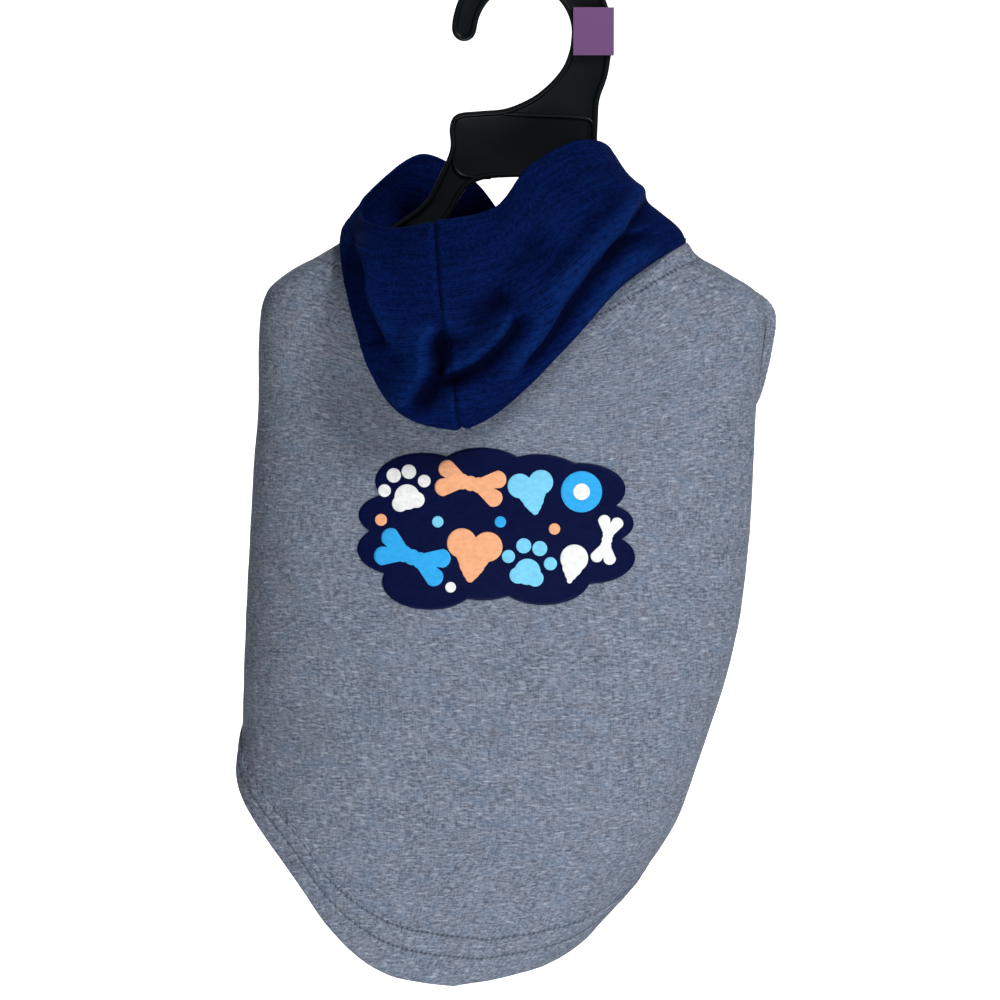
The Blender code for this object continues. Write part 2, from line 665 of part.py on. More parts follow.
def smooth_line(points, steps):
    """A smooth open line through the points."""
    points = np.asarray(points, float)
    padded = np.concatenate([2 * points[:1] - points[1:2], points, 2 * points[-1:] - points[-2:-1]])
    line = []
    for i in range(len(points) - 1):
        before, here, after, later = padded[i:i + 4]
        for q in np.arange(steps) / steps:
            line.append(0.5 * (2 * here + (after - before) * q
                               + (2 * before - 5 * here + 4 * after - later) * q ** 2
                               + (3 * here - before - 3 * after + later) * q ** 3))
    line.append(points[-1])
    return np.array(line)


def arm_edge(side):
    """An arm's edge, from the plate along the top to the tip and back along the underside."""
    scale = np.array([PLATE_WIDTH / 2, -PLATE_TOP_DROP])
    shoulder = section(np.array(SHOULDER_LEVELS))
    reach = shoulder["reach"] + (shoulder["middle"] if side > 0 else -shoulder["middle"])
    under_shoulder = np.stack([reach - SHOULDER_CLEARANCE, shoulder["z"]], 1)
    tip = under_shoulder[-1] + (0.01 * PLATE_WIDTH, -0.35 * ARM_WIDTH)
    under = np.array(ARM_UNDER) * scale
    line = np.concatenate([np.array(ARM_TOP) * scale, under_shoulder, [tip], under])
    return line * (side, 1)


def hanger_outline():
    """The hanger's edge in the XZ plane, starting at the hook's tip, over its outside."""
    scale = np.array([PLATE_WIDTH / 2, -PLATE_TOP_DROP])
    sweep = np.linspace(0, 1, HOOK_STEPS)
    angles = math.pi * (1 - sweep) * 0.98
    width = HOOK_TIP_WIDTH + (STEM_WIDTH - HOOK_TIP_WIDTH) * smooth_step(sweep * 1.1)
    direction = np.stack([np.cos(angles), np.sin(angles)], 1)
    centre = np.array([0.0, -HOOK_RADIUS])
    outside = centre + direction * (HOOK_RADIUS + width)[:, None]
    inside = (centre + direction * HOOK_RADIUS)[::-1]
    toward_hook, down = np.array(STEM_RIGHT).T
    across = PLATE_WIDTH / 2 + (HOOK_RADIUS + STEM_WIDTH - PLATE_WIDTH / 2) * toward_hook
    stem_right = np.stack([across, -PLATE_TOP_DROP * down], 1)
    stem_left = np.array(STEM_LEFT) * scale
    corners = np.concatenate([stem_right, arm_edge(1), arm_edge(-1)[::-1], stem_left])
    below = smooth_line(corners, EDGE_STEPS)
    tip_middle = (outside[0] + inside[-1]) / 2 + (0, -0.30 * HOOK_TIP_WIDTH)
    return spread_evenly(np.concatenate([outside, below, inside, [tip_middle]]), EDGE_STEP)


def spread_evenly(line, shortest):
    """Drops points of a closed line that are nearer than the shortest step."""
    kept = [line[0]]
    for point in line[1:]:
        if np.linalg.norm(point - kept[-1]) >= shortest:
            kept.append(point)
    if np.linalg.norm(kept[-1] - kept[0]) < shortest:
        kept.pop()
    return np.array(kept)


def make_hanger(collection, material):
    edge = hanger_outline()
    along = np.roll(edge, -1, 0) - np.roll(edge, 1, 0)
    along /= np.linalg.norm(along, axis=1, keepdims=True)
    inward = np.stack([along[:, 1], -along[:, 0]], 1)
    rim, web, soft = RIM_THICKNESS / 2, WEB_THICKNESS / 2, 0.3 * RIM_WIDTH
    profile = (
        (0.0, -rim + soft), (soft, -rim), (RIM_WIDTH, -rim), (RIM_WIDTH + soft, -web),
        (RIM_WIDTH + soft, web), (RIM_WIDTH, rim), (soft, rim), (0.0, rim - soft),
    )
    rings = []
    for inset, y in profile:
        flat = edge + inward * inset
        rings.append(np.stack([flat[:, 0], np.full(len(edge), y), flat[:, 1]], 1))
    count, rows = len(edge), len(profile)
    faces = []
    for row in list(range(3)) + list(range(4, rows)):
        near, far = row * count, (row + 1) % rows * count
        for c in range(count):
            after = (c + 1) % count
            faces.append((near + c, near + after, far + after, far + c))
    faces.append(tuple(3 * count + c for c in range(count)))
    faces.append(tuple(4 * count + c for c in range(count))[::-1])
    obj = mesh_object("hanger", np.concatenate(rings), faces, collection, material, smooth=False)
    turn_outward(obj)
    return obj


def make_size_clip(collection, material):
    stem_edge = HOOK_RADIUS + STEM_WIDTH
    inner_x = stem_edge - CLIP_REACH
    hold = TOUCH_GAP + CLIP_WALL
    right = stem_edge + hold
    front = RIM_THICKNESS / 2 + hold
    outline = (
        (inner_x, -front), (right, -front), (right, front), (inner_x, front),
        (inner_x, front - CLIP_WALL), (right - CLIP_WALL, front - CLIP_WALL),
        (right - CLIP_WALL, CLIP_WALL - front), (inner_x, CLIP_WALL - front),
    )
    vertices = [(x, y, -CLIP_DROP) for x, y in outline]
    vertices += [(x, y, -CLIP_DROP - CLIP_LENGTH) for x, y in outline]
    count = len(outline)
    faces = [(i, (i + 1) % count, count + (i + 1) % count, count + i) for i in range(count)]
    faces += [tuple(range(count))[::-1], tuple(range(count, 2 * count))]
    obj = mesh_object("size_clip", vertices, faces, collection, material, smooth=False)
    turn_outward(obj)
    return obj


def main():
    for obj in list(bpy.data.objects):
        bpy.data.objects.remove(obj)
    parts = make_collection("DogHoodie", False)
    cutters = make_collection("Cutters", True)
    fleece = make_material("grey_fleece", GREY, 0.9)
    rib = make_material("speckled_rib", GREY, 0.85)
    jersey = make_material("navy_jersey", NAVY, 0.85)
    ink = make_material("print_ink", INK, 0.6)
    plastic = make_material("black_plastic", BLACK, 0.35)
    clip_plastic = make_material("purple_plastic", PURPLE, 0.4)

    half_seam = SEAM_GAP / 2 / (2 * (BODY_WIDTH + BODY_DEPTH))
    back = make_panel("back_panel", LEFT_SEAM + half_seam, RIGHT_SEAM - half_seam, BACK_SAMPLES,
                      parts, fleece)
    chest = make_panel("chest_panel", RIGHT_SEAM + half_seam - 1, LEFT_SEAM - half_seam,
                       CHEST_SAMPLES, parts, fleece)
    for side in HOLES:
        cutter = make_hole_cutter(side, cutters)
        cut(back, cutter)
        cut(chest, cutter)
        make_band(side, parts, rib)

    half_hood_seam = SEAM_GAP / 2 / (2 * (NECK_WIDTH + NECK_DEPTH))
    make_hood_half("hood_left", half_hood_seam, 0.5 - half_hood_seam, parts, jersey)
    make_hood_half("hood_right", 0.5 + half_hood_seam, 1 - half_hood_seam, parts, jersey)
    make_print(parts, ink)
    make_hanger(parts, plastic)
    make_size_clip(parts, clip_plastic)


main()
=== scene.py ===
import math
import bpy
import numpy as np
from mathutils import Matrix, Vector


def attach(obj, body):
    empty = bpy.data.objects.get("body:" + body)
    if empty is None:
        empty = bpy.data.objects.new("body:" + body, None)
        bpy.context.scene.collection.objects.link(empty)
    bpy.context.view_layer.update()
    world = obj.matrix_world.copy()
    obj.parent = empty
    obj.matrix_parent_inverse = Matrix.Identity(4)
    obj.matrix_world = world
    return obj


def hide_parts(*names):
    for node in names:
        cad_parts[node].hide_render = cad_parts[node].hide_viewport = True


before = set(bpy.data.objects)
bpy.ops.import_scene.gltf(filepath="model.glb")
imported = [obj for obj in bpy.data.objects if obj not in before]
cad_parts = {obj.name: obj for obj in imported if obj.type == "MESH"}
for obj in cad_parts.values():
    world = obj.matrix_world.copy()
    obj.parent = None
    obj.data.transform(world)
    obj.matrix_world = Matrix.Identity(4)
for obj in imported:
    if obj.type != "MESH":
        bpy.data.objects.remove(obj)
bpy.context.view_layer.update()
mm = 0.001


def smoothStep(q):
    q = np.clip(q, 0, 1)
    return q * q * (3 - 2 * q)


def curveAt(at, xs, ys):
    # the value at each place of a cubic that passes every (x, y) and never overshoots
    xs, ys = np.asarray(xs, float), np.asarray(ys, float)
    slope = np.diff(ys) / np.diff(xs)
    same = slope[:-1] * slope[1:] > 0
    tangent = np.zeros(len(xs))
    tangent[1:-1] = np.where(same, 2 * slope[:-1] * slope[1:] / np.where(same, slope[:-1] + slope[1:], 1), 0)
    tangent[0], tangent[-1] = slope[0], slope[-1]
    at = np.clip(at, xs[0], xs[-1])
    i = np.clip(np.searchsorted(xs, at, side="right") - 1, 0, len(xs) - 2)
    step = xs[i + 1] - xs[i]
    q = (at - xs[i]) / step
    return ((1 + 2 * q) * (1 - q) ** 2 * ys[i] + q * (1 - q) ** 2 * step * tangent[i]
            + q * q * (3 - 2 * q) * ys[i + 1] - q * q * (1 - q) * step * tangent[i + 1])


def catmull(a, b, c, d, q):
    # the smooth curve a share q of the way from b to c, with a and d as their neighbours
    return 0.5 * (2 * b + (c - a) * q + (2 * a - 5 * b + 4 * c - d) * q ** 2
                  + (3 * b - a - 3 * c + d) * q ** 3)


def roundAt(at, rows):
    # the row at each share of a closed smooth curve through evenly spaced rows
    spot = np.mod(at, 1.0) * len(rows)
    i = np.floor(spot).astype(int)
    return catmull(*(rows[(i + k) % len(rows)] for k in (-1, 0, 1, 2)), (spot - i)[:, None])


def splineWeights(at, xs):
    # the matrix that turns values at xs into a natural cubic spline's values at each place
    step = np.diff(xs)
    count = len(xs)
    matrix, right = np.eye(count), np.zeros((count, count))
    for i in range(1, count - 1):
        matrix[i, i - 1:i + 2] = step[i - 1], 2 * (step[i - 1] + step[i]), step[i]
        right[i, i - 1:i + 2] = 6 / step[i - 1], -6 / step[i] - 6 / step[i - 1], 6 / step[i]
    bend = np.linalg.solve(matrix, right)
    i = np.clip(np.searchsorted(xs, at, side="right") - 1, 0, count - 2)
    low, high, h = (at - xs[i])[:, None], (xs[i + 1] - at)[:, None], step[i][:, None]
    unit = np.eye(count)
    return ((bend[i] * high ** 3 + bend[i + 1] * low ** 3) / (6 * h)
            + (unit[i] / h - bend[i] * h / 6) * high + (unit[i + 1] / h - bend[i + 1] * h / 6) * low)


def waves(x, y, seed, size, octaves=3):
    # smooth seeded bumps: sums of sines in turned directions, each octave half the size of the last
    random = np.random.default_rng(seed)
    total = np.zeros(np.broadcast(x, y).shape)
    for octave in range(octaves):
        for _ in range(5):
            turn, phase = random.uniform(0, 2 * math.pi, 2)
            pitch = size * random.uniform(0.7, 1.4) / 2 ** octave
            along = x * math.cos(turn) + y * math.sin(turn)
            total += np.sin(along * 2 * math.pi / pitch + phase) / 2 ** octave
    return total / 5


def unit(vectors):
    # each vector at unit length
    return vectors / np.maximum(np.linalg.norm(vectors, axis=-1, keepdims=True), 1e-12)


def runAlong(points):
    # the distance run down each column of points
    steps = np.linalg.norm(np.diff(points, axis=0), axis=-1)
    return np.concatenate([0 * steps[:1], np.cumsum(steps, 0)])


def neighbours(values):
    # the sum of the four neighbours of each grid value, with the border repeated
    padded = np.pad(values, [(1, 1), (1, 1)] + [(0, 0)] * (values.ndim - 2), "edge")
    return padded[:-2, 1:-1] + padded[2:, 1:-1] + padded[1:-1, :-2] + padded[1:-1, 2:]


def gridNormals(points, passes=6):
    # the cross product of the steps along a grid's rows and columns, blurred and made unit length
    normal = np.cross(np.gradient(points, axis=0), np.gradient(points, axis=1))
    for _ in range(passes):
        normal = unit(normal)
        normal = (neighbours(normal) + 2 * normal) / 6
    return unit(normal)


def softened(values, passes):
    # each grid value becomes the mean of its four neighbours, again and again
    for _ in range(passes):
        values = neighbours(values) / 4
    return values


def linked(name, data):
    obj = bpy.data.objects.new(name, data)
    bpy.context.scene.collection.objects.link(obj)
    return obj


def addMesh(name, vertices, quads, uv=None, seam=None):
    # a mesh from whole arrays of corners and four-sided faces, with a UV for each corner
    mesh = bpy.data.meshes.new(name)
    mesh.vertices.add(len(vertices))
    mesh.vertices.foreach_set("co", np.asarray(vertices, np.float32).ravel())
    mesh.loops.add(quads.size)
    mesh.loops.foreach_set("vertex_index", quads.ravel().astype(np.int32))
    mesh.polygons.add(len(quads))
    mesh.polygons.foreach_set("loop_start", np.arange(0, quads.size, quads.shape[1], dtype=np.int32))
    mesh.polygons.foreach_set("use_smooth", np.ones(len(quads), bool))
    # the second layer holds the distance from the hem on the body panels, and on the hood the painted shade
    # and highlight of its folds with the distance from the rim
    for label, values in (("Cloth", uv), ("Seam", seam)):
        if values is not None:
            layer = mesh.uv_layers.new(name=label)
            layer.data.foreach_set("uv", np.asarray(values, np.float32)[quads.ravel()].ravel())
    mesh.update()
    mesh.validate()
    return linked(name, mesh)


def gridQuads(rows, columns, closed=False, flipped=False):
    # four-sided faces over a grid of corners that is numbered row by row
    r, c = np.meshgrid(np.arange(rows - 1), np.arange(columns if closed else columns - 1), indexing="ij")
    after = (c + 1) % columns
    corners = [r * columns + c, (r + 1) * columns + c, (r + 1) * columns + after, r * columns + after]
    quads = np.stack(corners, -1).reshape(-1, 4)
    return quads[:, ::-1] if flipped else quads


def pairs(u, v):
    # one UV for each corner from two grids
    return np.stack(np.broadcast_arrays(u, v), -1).reshape(-1, 2)


def joined(parts):
    # corners, faces and UVs of several parts laid end to end, with the faces renumbered
    points, quads, *uvs = zip(*parts)
    starts = np.cumsum([0] + [len(p) for p in points[:-1]])
    return [np.concatenate(v) for v in (points, [q + s for q, s in zip(quads, starts)], *uvs)]


def addWall(obj, thickness):
    # thickness grown inward from the outer face
    wall = obj.modifiers.new("Wall", "SOLIDIFY")
    wall.thickness, wall.offset, wall.use_rim = thickness, -1, True
    return wall


def place(obj, material, slot, *nodes):
    obj.data.materials.append(material)
    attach(obj, "root")
    if nodes:
        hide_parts(*nodes)
    return obj


# Body: rings run 0 at the chest's centre, 0.25 left flank, 0.5 centre back, 0.75 right flank
body = {
    "neckZ": -91 * mm, "drop": 265 * mm, "halfWidth": 91 * mm, "halfDepth": 33 * mm,
    "neckHalfWidth": 60 * mm, "neckHalfDepth": 27 * mm, "neckDip": 31 * mm, "throatDip": 14 * mm,
    "dipPower": 3.2, "wall": 1.8 * mm, "bellyLevel": 174 / 265, "girth": 420 * mm,
    "leftSeam": 0.175, "rightSeam": 0.80, "seamGap": 0.00101,  # shares
}
# drop share, spread from neck to body size, then left, right, back and chest reach, dip, twist, squareness
sections = np.array([
    (0.000, 0.000, 1.042, 0.958, 1.00, 1.00, 1.00, 0, 2.0),
    (0.021, 0.306, 1.060, 0.905, 0.97, 0.93, 0.93, 0, 2.0),
    (0.045, 0.645, 1.060, 0.922, 0.91, 0.86, 0.84, 0, 2.1),
    (0.070, 0.887, 1.053, 0.955, 0.89, 0.82, 0.74, 0, 2.1),
    (0.102, 0.984, 1.044, 0.956, 0.90, 0.82, 0.62, 0, 2.2),
    (0.147, 1.000, 1.046, 0.940, 0.93, 0.82, 0.45, 0, 2.3),
    (0.215, 1.000, 1.048, 0.918, 1.00, 0.85, 0.22, 0, 2.3),
    (0.298, 1.000, 1.068, 0.907, 1.05, 0.90, 0.05, 0, 2.3),
    (0.392, 1.000, 1.082, 0.893, 1.10, 0.95, 0.00, 0, 2.3),
    (0.494, 1.000, 1.099, 0.863, 1.13, 1.00, 0.00, 3, 2.3),
    (0.581, 1.000, 1.110, 0.810, 1.15, 1.05, 0.00, 6, 2.3),
    (0.656, 1.000, 1.115, 0.745, 1.15, 1.08, 0.00, 9, 2.2),
    (0.724, 1.000, 1.137, 0.683, 1.13, 1.08, 0.00, 13, 2.2),
    (0.789, 1.000, 1.143, 0.613, 1.10, 1.08, 0.00, 16, 2.2),
    (0.864, 1.000, 1.143, 0.466, 1.06, 1.08, 0.00, 19, 2.1),
    (0.925, 1.000, 1.132, 0.312, 1.02, 1.08, 0.00, 22, 2.1),
    (0.975, 1.000, 1.110, 0.180, 1.00, 1.08, 0.00, 24, 2.0),
    (1.000, 1.000, 1.088, 0.050, 0.97, 1.08, 0.00, 25, 2.0),
])
hemTurn = (0.0, 0.085, 0.12, 0.15, 0.185, 0.215, 0.25, 0.28, 0.31, 0.36, 0.5)
hemClimb = (0.0, 0.04, 0.08, 0.14, 0.25, 0.40, 0.57, 0.72, 0.86, 0.965, 1.0)
# broad dents: centre across and down, size across and down, depth, over the half width, drop and half depth
dents = ((0.83, 0.33, 0.17, 0.10, 0.13), (-0.72, 0.17, 0.20, 0.09, 0.09), (-0.98, 0.66, 0.20, 0.04, 0.07),
         (-0.45, 0.52, 0.30, 0.03, -0.03), (0.35, 0.60, 0.35, 0.04, -0.03))


def sectionAt(level):
    # reaches, depths, dips, twist and squareness of the body at each level, read from the table
    read = [curveAt(level, sections[:, 0], sections[:, k]) for k in range(1, 9)]
    spread, left, right, back, chest, dip, twist, square = read
    halfWidth = body["neckHalfWidth"] + (body["halfWidth"] - body["neckHalfWidth"]) * spread
    halfDepth = body["neckHalfDepth"] + (body["halfDepth"] - body["neckHalfDepth"]) * spread
    return {"middle": halfWidth * (right - left) / 2, "reach": halfWidth * (right + left) / 2,
            "back": halfDepth * back, "chest": halfDepth * chest, "dip": dip,
            "twist": np.radians(twist), "square": square}


def dentAt(x, level):
    # how far the back sinks: a sum of rounded dents
    total = 0
    for across, centre, wide, high, sink in dents:
        total = total + sink * body["halfDepth"] * np.exp(
            -((x / body["halfWidth"] - across) / wide) ** 2 - ((level - centre) / high) ** 2)
    return total


def makeBodyTable(levelCount=266, shareCount=721):
    # superellipse rings, each spaced evenly by its length on plan, one row for each level
    levels = np.linspace(0, 1, levelCount)
    shares = np.linspace(0, 1, shareCount)
    table = np.zeros((levelCount, shareCount, 3))
    for i, level in enumerate(levels):
        cut = sectionAt(level)
        angle = 1.5 * math.pi - cut["twist"] - 2 * math.pi * shares
        cosine, sine = np.cos(angle), np.sin(angle)
        power = 2 / cut["square"]
        x = cut["middle"] + cut["reach"] * np.sign(cosine) * np.abs(cosine) ** power
        y = -np.where(sine > 0, cut["back"], cut["chest"]) * np.sign(sine) * np.abs(sine) ** power
        dip = np.where(sine > 0, body["neckDip"], body["throatDip"]) * cut["dip"]
        z = body["neckZ"] - body["drop"] * level - dip * np.abs(sine) ** body["dipPower"]
        along = runAlong(np.stack([x, y], -1))
        even = shares * along[-1]
        ring = np.stack([np.interp(even, along, v) for v in (x, y, z)], -1)
        ring[:, 1] += dentAt(ring[:, 0], level) * smoothStep(-ring[:, 1] / (0.4 * body["halfDepth"]))
        table[i] = ring
    return table


bodyTable = makeBodyTable()


def bodyBase(share, level):
    # the table read between its rows and columns, in straight steps
    rows, columns = bodyTable.shape[0] - 1, bodyTable.shape[1] - 1
    u = np.mod(share, 1.0) * columns
    v = np.clip(level, 0, 1) * rows
    i = np.minimum(np.floor(v).astype(int), rows - 1)
    j = np.minimum(np.floor(u).astype(int), columns - 1)
    a, b = (v - i)[..., None], (u - j)[..., None]
    return ((1 - a) * ((1 - b) * bodyTable[i, j] + b * bodyTable[i, j + 1])
            + a * ((1 - b) * bodyTable[i + 1, j] + b * bodyTable[i + 1, j + 1]))


def hemLevel(share):
    turn = np.abs(np.mod(share, 1.0) - 0.5)
    return 1 - (1 - body["bellyLevel"]) * curveAt(turn, hemTurn, hemClimb)


def ridge(far, high, wide=1.1 * mm):
    # a soft ridge, or where its height is below nothing the groove that stitches pull in
    return high * np.exp(-(far / wide) ** 2)


hem = {"rows": (10.2 * mm, 17.2 * mm), "top": 18.4 * mm, "pitch": 2.4 * mm, "deep": 0.40 * mm,
       "swell": 0.75 * mm}
neckStitch = {"far": 6.4 * mm, "pitch": 2.2 * mm, "deep": 0.22 * mm}


def bodyRelief(share, level):
    # height of the cloth over its base: soft drape, small puckers, hem, neck seam and stitch rows
    u, v = share * body["girth"], level * body["drop"]
    edge = (hemLevel(share) - level) * body["drop"]
    height = 0.55 * mm * waves(u, 0.6 * v, 3, 90 * mm, 2) + 0.10 * mm * waves(u, v, 5, 16 * mm, 2)
    height += 0.5 * mm * waves(u, 0.25 * v, 8, 34 * mm, 1) * smoothStep(1 - edge / (45 * mm))
    height += hem["swell"] * smoothStep((hem["top"] - edge) / (1.4 * mm))
    height -= 0.9 * mm * np.clip(1 - edge / (1.3 * mm), 0, 1) ** 2
    for far in hem["rows"]:
        height += ridge(edge - far, -hem["deep"])
    pull = 0.12 * mm * np.sin(2 * math.pi * u / (6.1 * mm) + 2 * np.sin(u / (9 * mm)))
    height += ridge(edge - 13 * mm, pull, 9 * mm)
    height += ridge(v - 1.7 * mm, 0.45 * mm, 1.3 * mm)
    return height + ridge(v - neckStitch["far"], -neckStitch["deep"])


def bodySurface(share, level, lift=0.0):
    # the base plus its relief and the lift, along the base's own normal
    step = 0.0015
    across = bodyBase(share + step, level) - bodyBase(share - step, level)
    down = bodyBase(share, np.minimum(level + step, 1)) - bodyBase(share, np.maximum(level - step, 0))
    normal = unit(np.cross(down, across))
    return bodyBase(share, level) + normal * (bodyRelief(share, level) + lift)[..., None], normal


legHoles = {"right": {"share": 0.798, "facing": 38, "flare": 0.65},
            "left": {"share": 0.160, "facing": 118, "flare": 0.10}}
legHole = {"halfShare": 0.049, "drop": 41 * mm, "half": 24 * mm}


def holeRadius(share, level, hole):
    # 1 on the edge of a leg opening and less inside it, then the shares away from its centre
    away = np.mod(share - hole["share"] + 0.5, 1.0) - 0.5
    down = (level * body["drop"] - legHole["drop"]) / legHole["half"]
    return np.hypot(away / legHole["halfShare"], down), away


def makePanel(name, first, last, columns, rows, material, node):
    # a grid over a range of shares and the levels above the hem, cut out at the leg openings
    shares = np.linspace(first + body["seamGap"], last - body["seamGap"], columns)
    bottom = hemLevel(shares)
    bandRows = 44
    band = 20 * mm / body["drop"]
    top = 0.9 * mm / body["drop"]
    upper = (np.linspace(0, 1, rows - bandRows) ** 1.1)[:, None] * (bottom - band - top) + top
    lower = bottom - band * (1 - np.linspace(0, 1, bandRows + 1)[1:, None])
    level = np.concatenate([upper, lower])
    share = np.broadcast_to(shares, level.shape).copy()
    gone = np.zeros(level.shape, bool)
    centre = legHole["drop"] / body["drop"]
    for hole in legHoles.values():
        radius, away = holeRadius(share, level, hole)
        gone |= radius < 1
        near = (radius < 1) & (radius > 0.72)  # pulled out to the opening's edge
        share = np.where(near, share - away + away / radius, share)
        level = np.where(near, centre + (level - centre) / radius, level)
    points, _ = bodySurface(share, level)
    quads = gridQuads(*level.shape)
    used, number = np.unique(quads[~gone.ravel()[quads].all(axis=1)], return_inverse=True)
    u = share * body["girth"]
    uv = pairs(u, level * body["drop"])
    seam = pairs(u, (hemLevel(share) - level) * body["drop"])
    obj = addMesh(name, points.reshape(-1, 3)[used], number.reshape(-1, 4), uv[used], seam[used])
    addWall(obj, body["wall"])
    return place(obj, material, "grey_fleece", node)


def fromPicture(x, z):
    # the share and level of the back panel's point that lies at x and z
    level = np.clip((body["neckZ"] - z) / body["drop"], 0, 1)
    share = np.full(np.shape(x), 0.5)
    for _ in range(30):
        p = bodyBase(share, level)
        share = np.clip(share + (x - p[..., 0]) / body["girth"] * 0.9, 0.2, 0.8)
        level = np.clip(level - (z - p[..., 2]) / body["drop"] * 0.9, 0, 1)
    return share, level


# Hood: rings at twelve shares round the neck, rim, front and bottom fold, over the neck's half sizes
# and the hood's fall, then the fold's fullness and how far the cloth stands up at the neck
hood = {"fall": 104 * mm, "wall": 1.5 * mm, "roll": 5 * mm, "clearance": 1.2 * mm, "gap": 0.6 * mm,
        "hem": 15 * mm, "row": 13.6 * mm, "pitch": 2.8 * mm, "girth": 360 * mm,
        "blur": 170, "depth": 2.8 * mm}  # painted shade in the folds' hollows and painted highlight on their crests: blur passes, and the height that is painted darkest
hoodRings = np.array([
    (0.03, 1.11, 0.000, 0.02, 1.13, -0.050, 0.00, 1.09, -0.095, 0.00, 0.0),
    (-0.30, 1.24, 0.205, -0.42, 1.17, 0.045, -0.52, 1.02, -0.035, 0.00, 0.0),
    (-0.64, 1.08, 0.300, -0.82, 0.88, 0.115, -0.93, 0.64, 0.015, 0.00, 0.0),
    (-0.94, 0.26, 0.155, -1.03, 0.04, 0.085, -1.08, -0.16, 0.010, 0.25, 0.3),
    (-0.96, -0.52, 0.080, -1.00, -1.06, -0.080, -0.98, -1.16, -0.235, 0.80, 0.8),
    (-0.79, -1.11, 0.050, -0.84, -1.72, -0.200, -0.77, -1.50, -0.540, 1.00, 1.0),
    (-0.53, -1.42, 0.070, -0.49, -2.02, -0.225, -0.36, -1.74, -0.625, 1.00, 1.0),
    (-0.18, -1.42, 0.120, -0.07, -2.02, -0.130, 0.06, -1.72, -0.465, 1.00, 1.0),
    (0.03, -1.16, 0.260, 0.32, -1.66, 0.040, 0.50, -1.32, -0.190, 0.90, 0.5),
    (0.32, -0.54, 0.345, 0.70, -0.72, 0.120, 0.955, -0.30, -0.020, 0.25, 0.0),
    (0.52, 0.18, 0.310, 0.70, 0.12, 0.145, 0.85, 0.22, 0.020, 0.10, 0.0),
    (0.37, 0.85, 0.145, 0.53, 0.85, 0.060, 0.58, 0.84, 0.005, 0.00, 0.0),
])
# folds as seen from the back, in mm on the picture: a line, then the height on its left, how far
# that side reaches, the depth on its right and how far that reaches, and its softness
hoodFolds = (
    (((10, -84), (1, -93), (-6, -102), (-10.5, -109), (-17.5, -114), (-25, -118), (-29, -122)),
     -3.6, 7, 3.6, 7, 2.4),
    (((-33, -142), (-25, -138.5), (-18, -135), (-11, -129), (-6, -123), (-2, -114)), 5.0, 6, 7.0, 6, 1.6),
    (((-10, -149), (-3, -141), (1, -134), (6, -128), (10, -122), (14, -115), (19, -108), (24, -101),
      (29, -95), (34, -88.5), (38.5, -82), (44, -75), (50, -69), (56, -64)), 5.5, 11, 5.5, 5.5, 2.2),
    (((27, -96.5), (34, -90.5), (41, -88), (49, -86)), 2.5, 4, 3.0, 4, 1.6),
    (((-4, -152), (5, -143), (12, -134), (19, -124), (25, -113), (30, -106), (36, -99.5), (44, -94.5),
      (53, -90)), 4.2, 4.5, -4.2, 4.5, 2.0),
    (((-61, -88), (-58.6, -96), (-56.5, -103), (-56, -110.5), (-53.6, -117.7), (-50.5, -124), (-49, -128),
      (-50, -133)), 4.0, 8, 2.2, 8, 1.2),
    (((-43.5, -156), (-41, -149), (-38, -144), (-35, -139.5), (-34, -135.5), (-34.3, -129.5), (-32.5, -125),
      (-29.5, -119)), 5.5, 8, 6.5, 9, 1.1),
    (((-31.8, -124), (-31.8, -130), (-31.5, -136), (-33, -141)), -4.5, 2.6, 4.5, 2.6, 1.0),
    (((40, -70), (28, -84), (14, -99), (2, -112)), 2.2, 7, 2.2, 7, 2.4),
    (((-30, -126), (-22, -126), (-15, -122), (-10, -115), (-6, -106)), -2.4, 5, 2.4, 5, 2.4),
)


def backPanelY(x, z):
    # y of the back panel's base at x and z, found by stepping the level until its dip agrees
    level = np.clip((body["neckZ"] - z) / body["drop"], 0, 1)
    for _ in range(8):
        cut = sectionAt(level)
        cosine = np.clip((x - cut["middle"]) / cut["reach"], -1, 1)
        sine = np.sqrt(np.clip(1 - np.abs(cosine) ** cut["square"], 0, 1))
        dip = body["neckDip"] * cut["dip"] * sine ** body["dipPower"]
        level = np.clip((body["neckZ"] - z - dip) / body["drop"], 0, 1)
    cut = sectionAt(level)
    bulge = np.clip(1 - np.abs(cosine) ** cut["square"], 0, 1) ** (1 / cut["square"])
    return -cut["back"] * bulge + dentAt(x, level), cut


def lineThrough(points, steps=12):
    # a smooth open line through the points
    points = np.asarray(points, float)
    padded = np.concatenate([2 * points[:1] - points[1:2], points, 2 * points[-1:] - points[-2:-1]])
    q = (np.arange(steps) / steps)[:, None]
    line = [catmull(*four, q) for four in zip(padded, padded[1:], padded[2:], padded[3:])]
    return np.concatenate(line + [points[-1:]])


view = {"elevation": math.radians(4), "far": 1.6, "aim": (-8.64 * mm, 0.0, -184.3 * mm), "width": 360 * mm}


def seenFromBack(points):
    # where each point falls on the picture, in mm on a plane through the aim
    c, s = math.cos(view["elevation"]), math.sin(view["elevation"])
    x, y, z = (points[..., k] - view["aim"][k] for k in range(3))
    scale = view["far"] / (view["far"] + y * c - z * s)
    return (x * scale + view["aim"][0]) / mm, ((z * c + y * s) * scale + view["aim"][2]) / mm


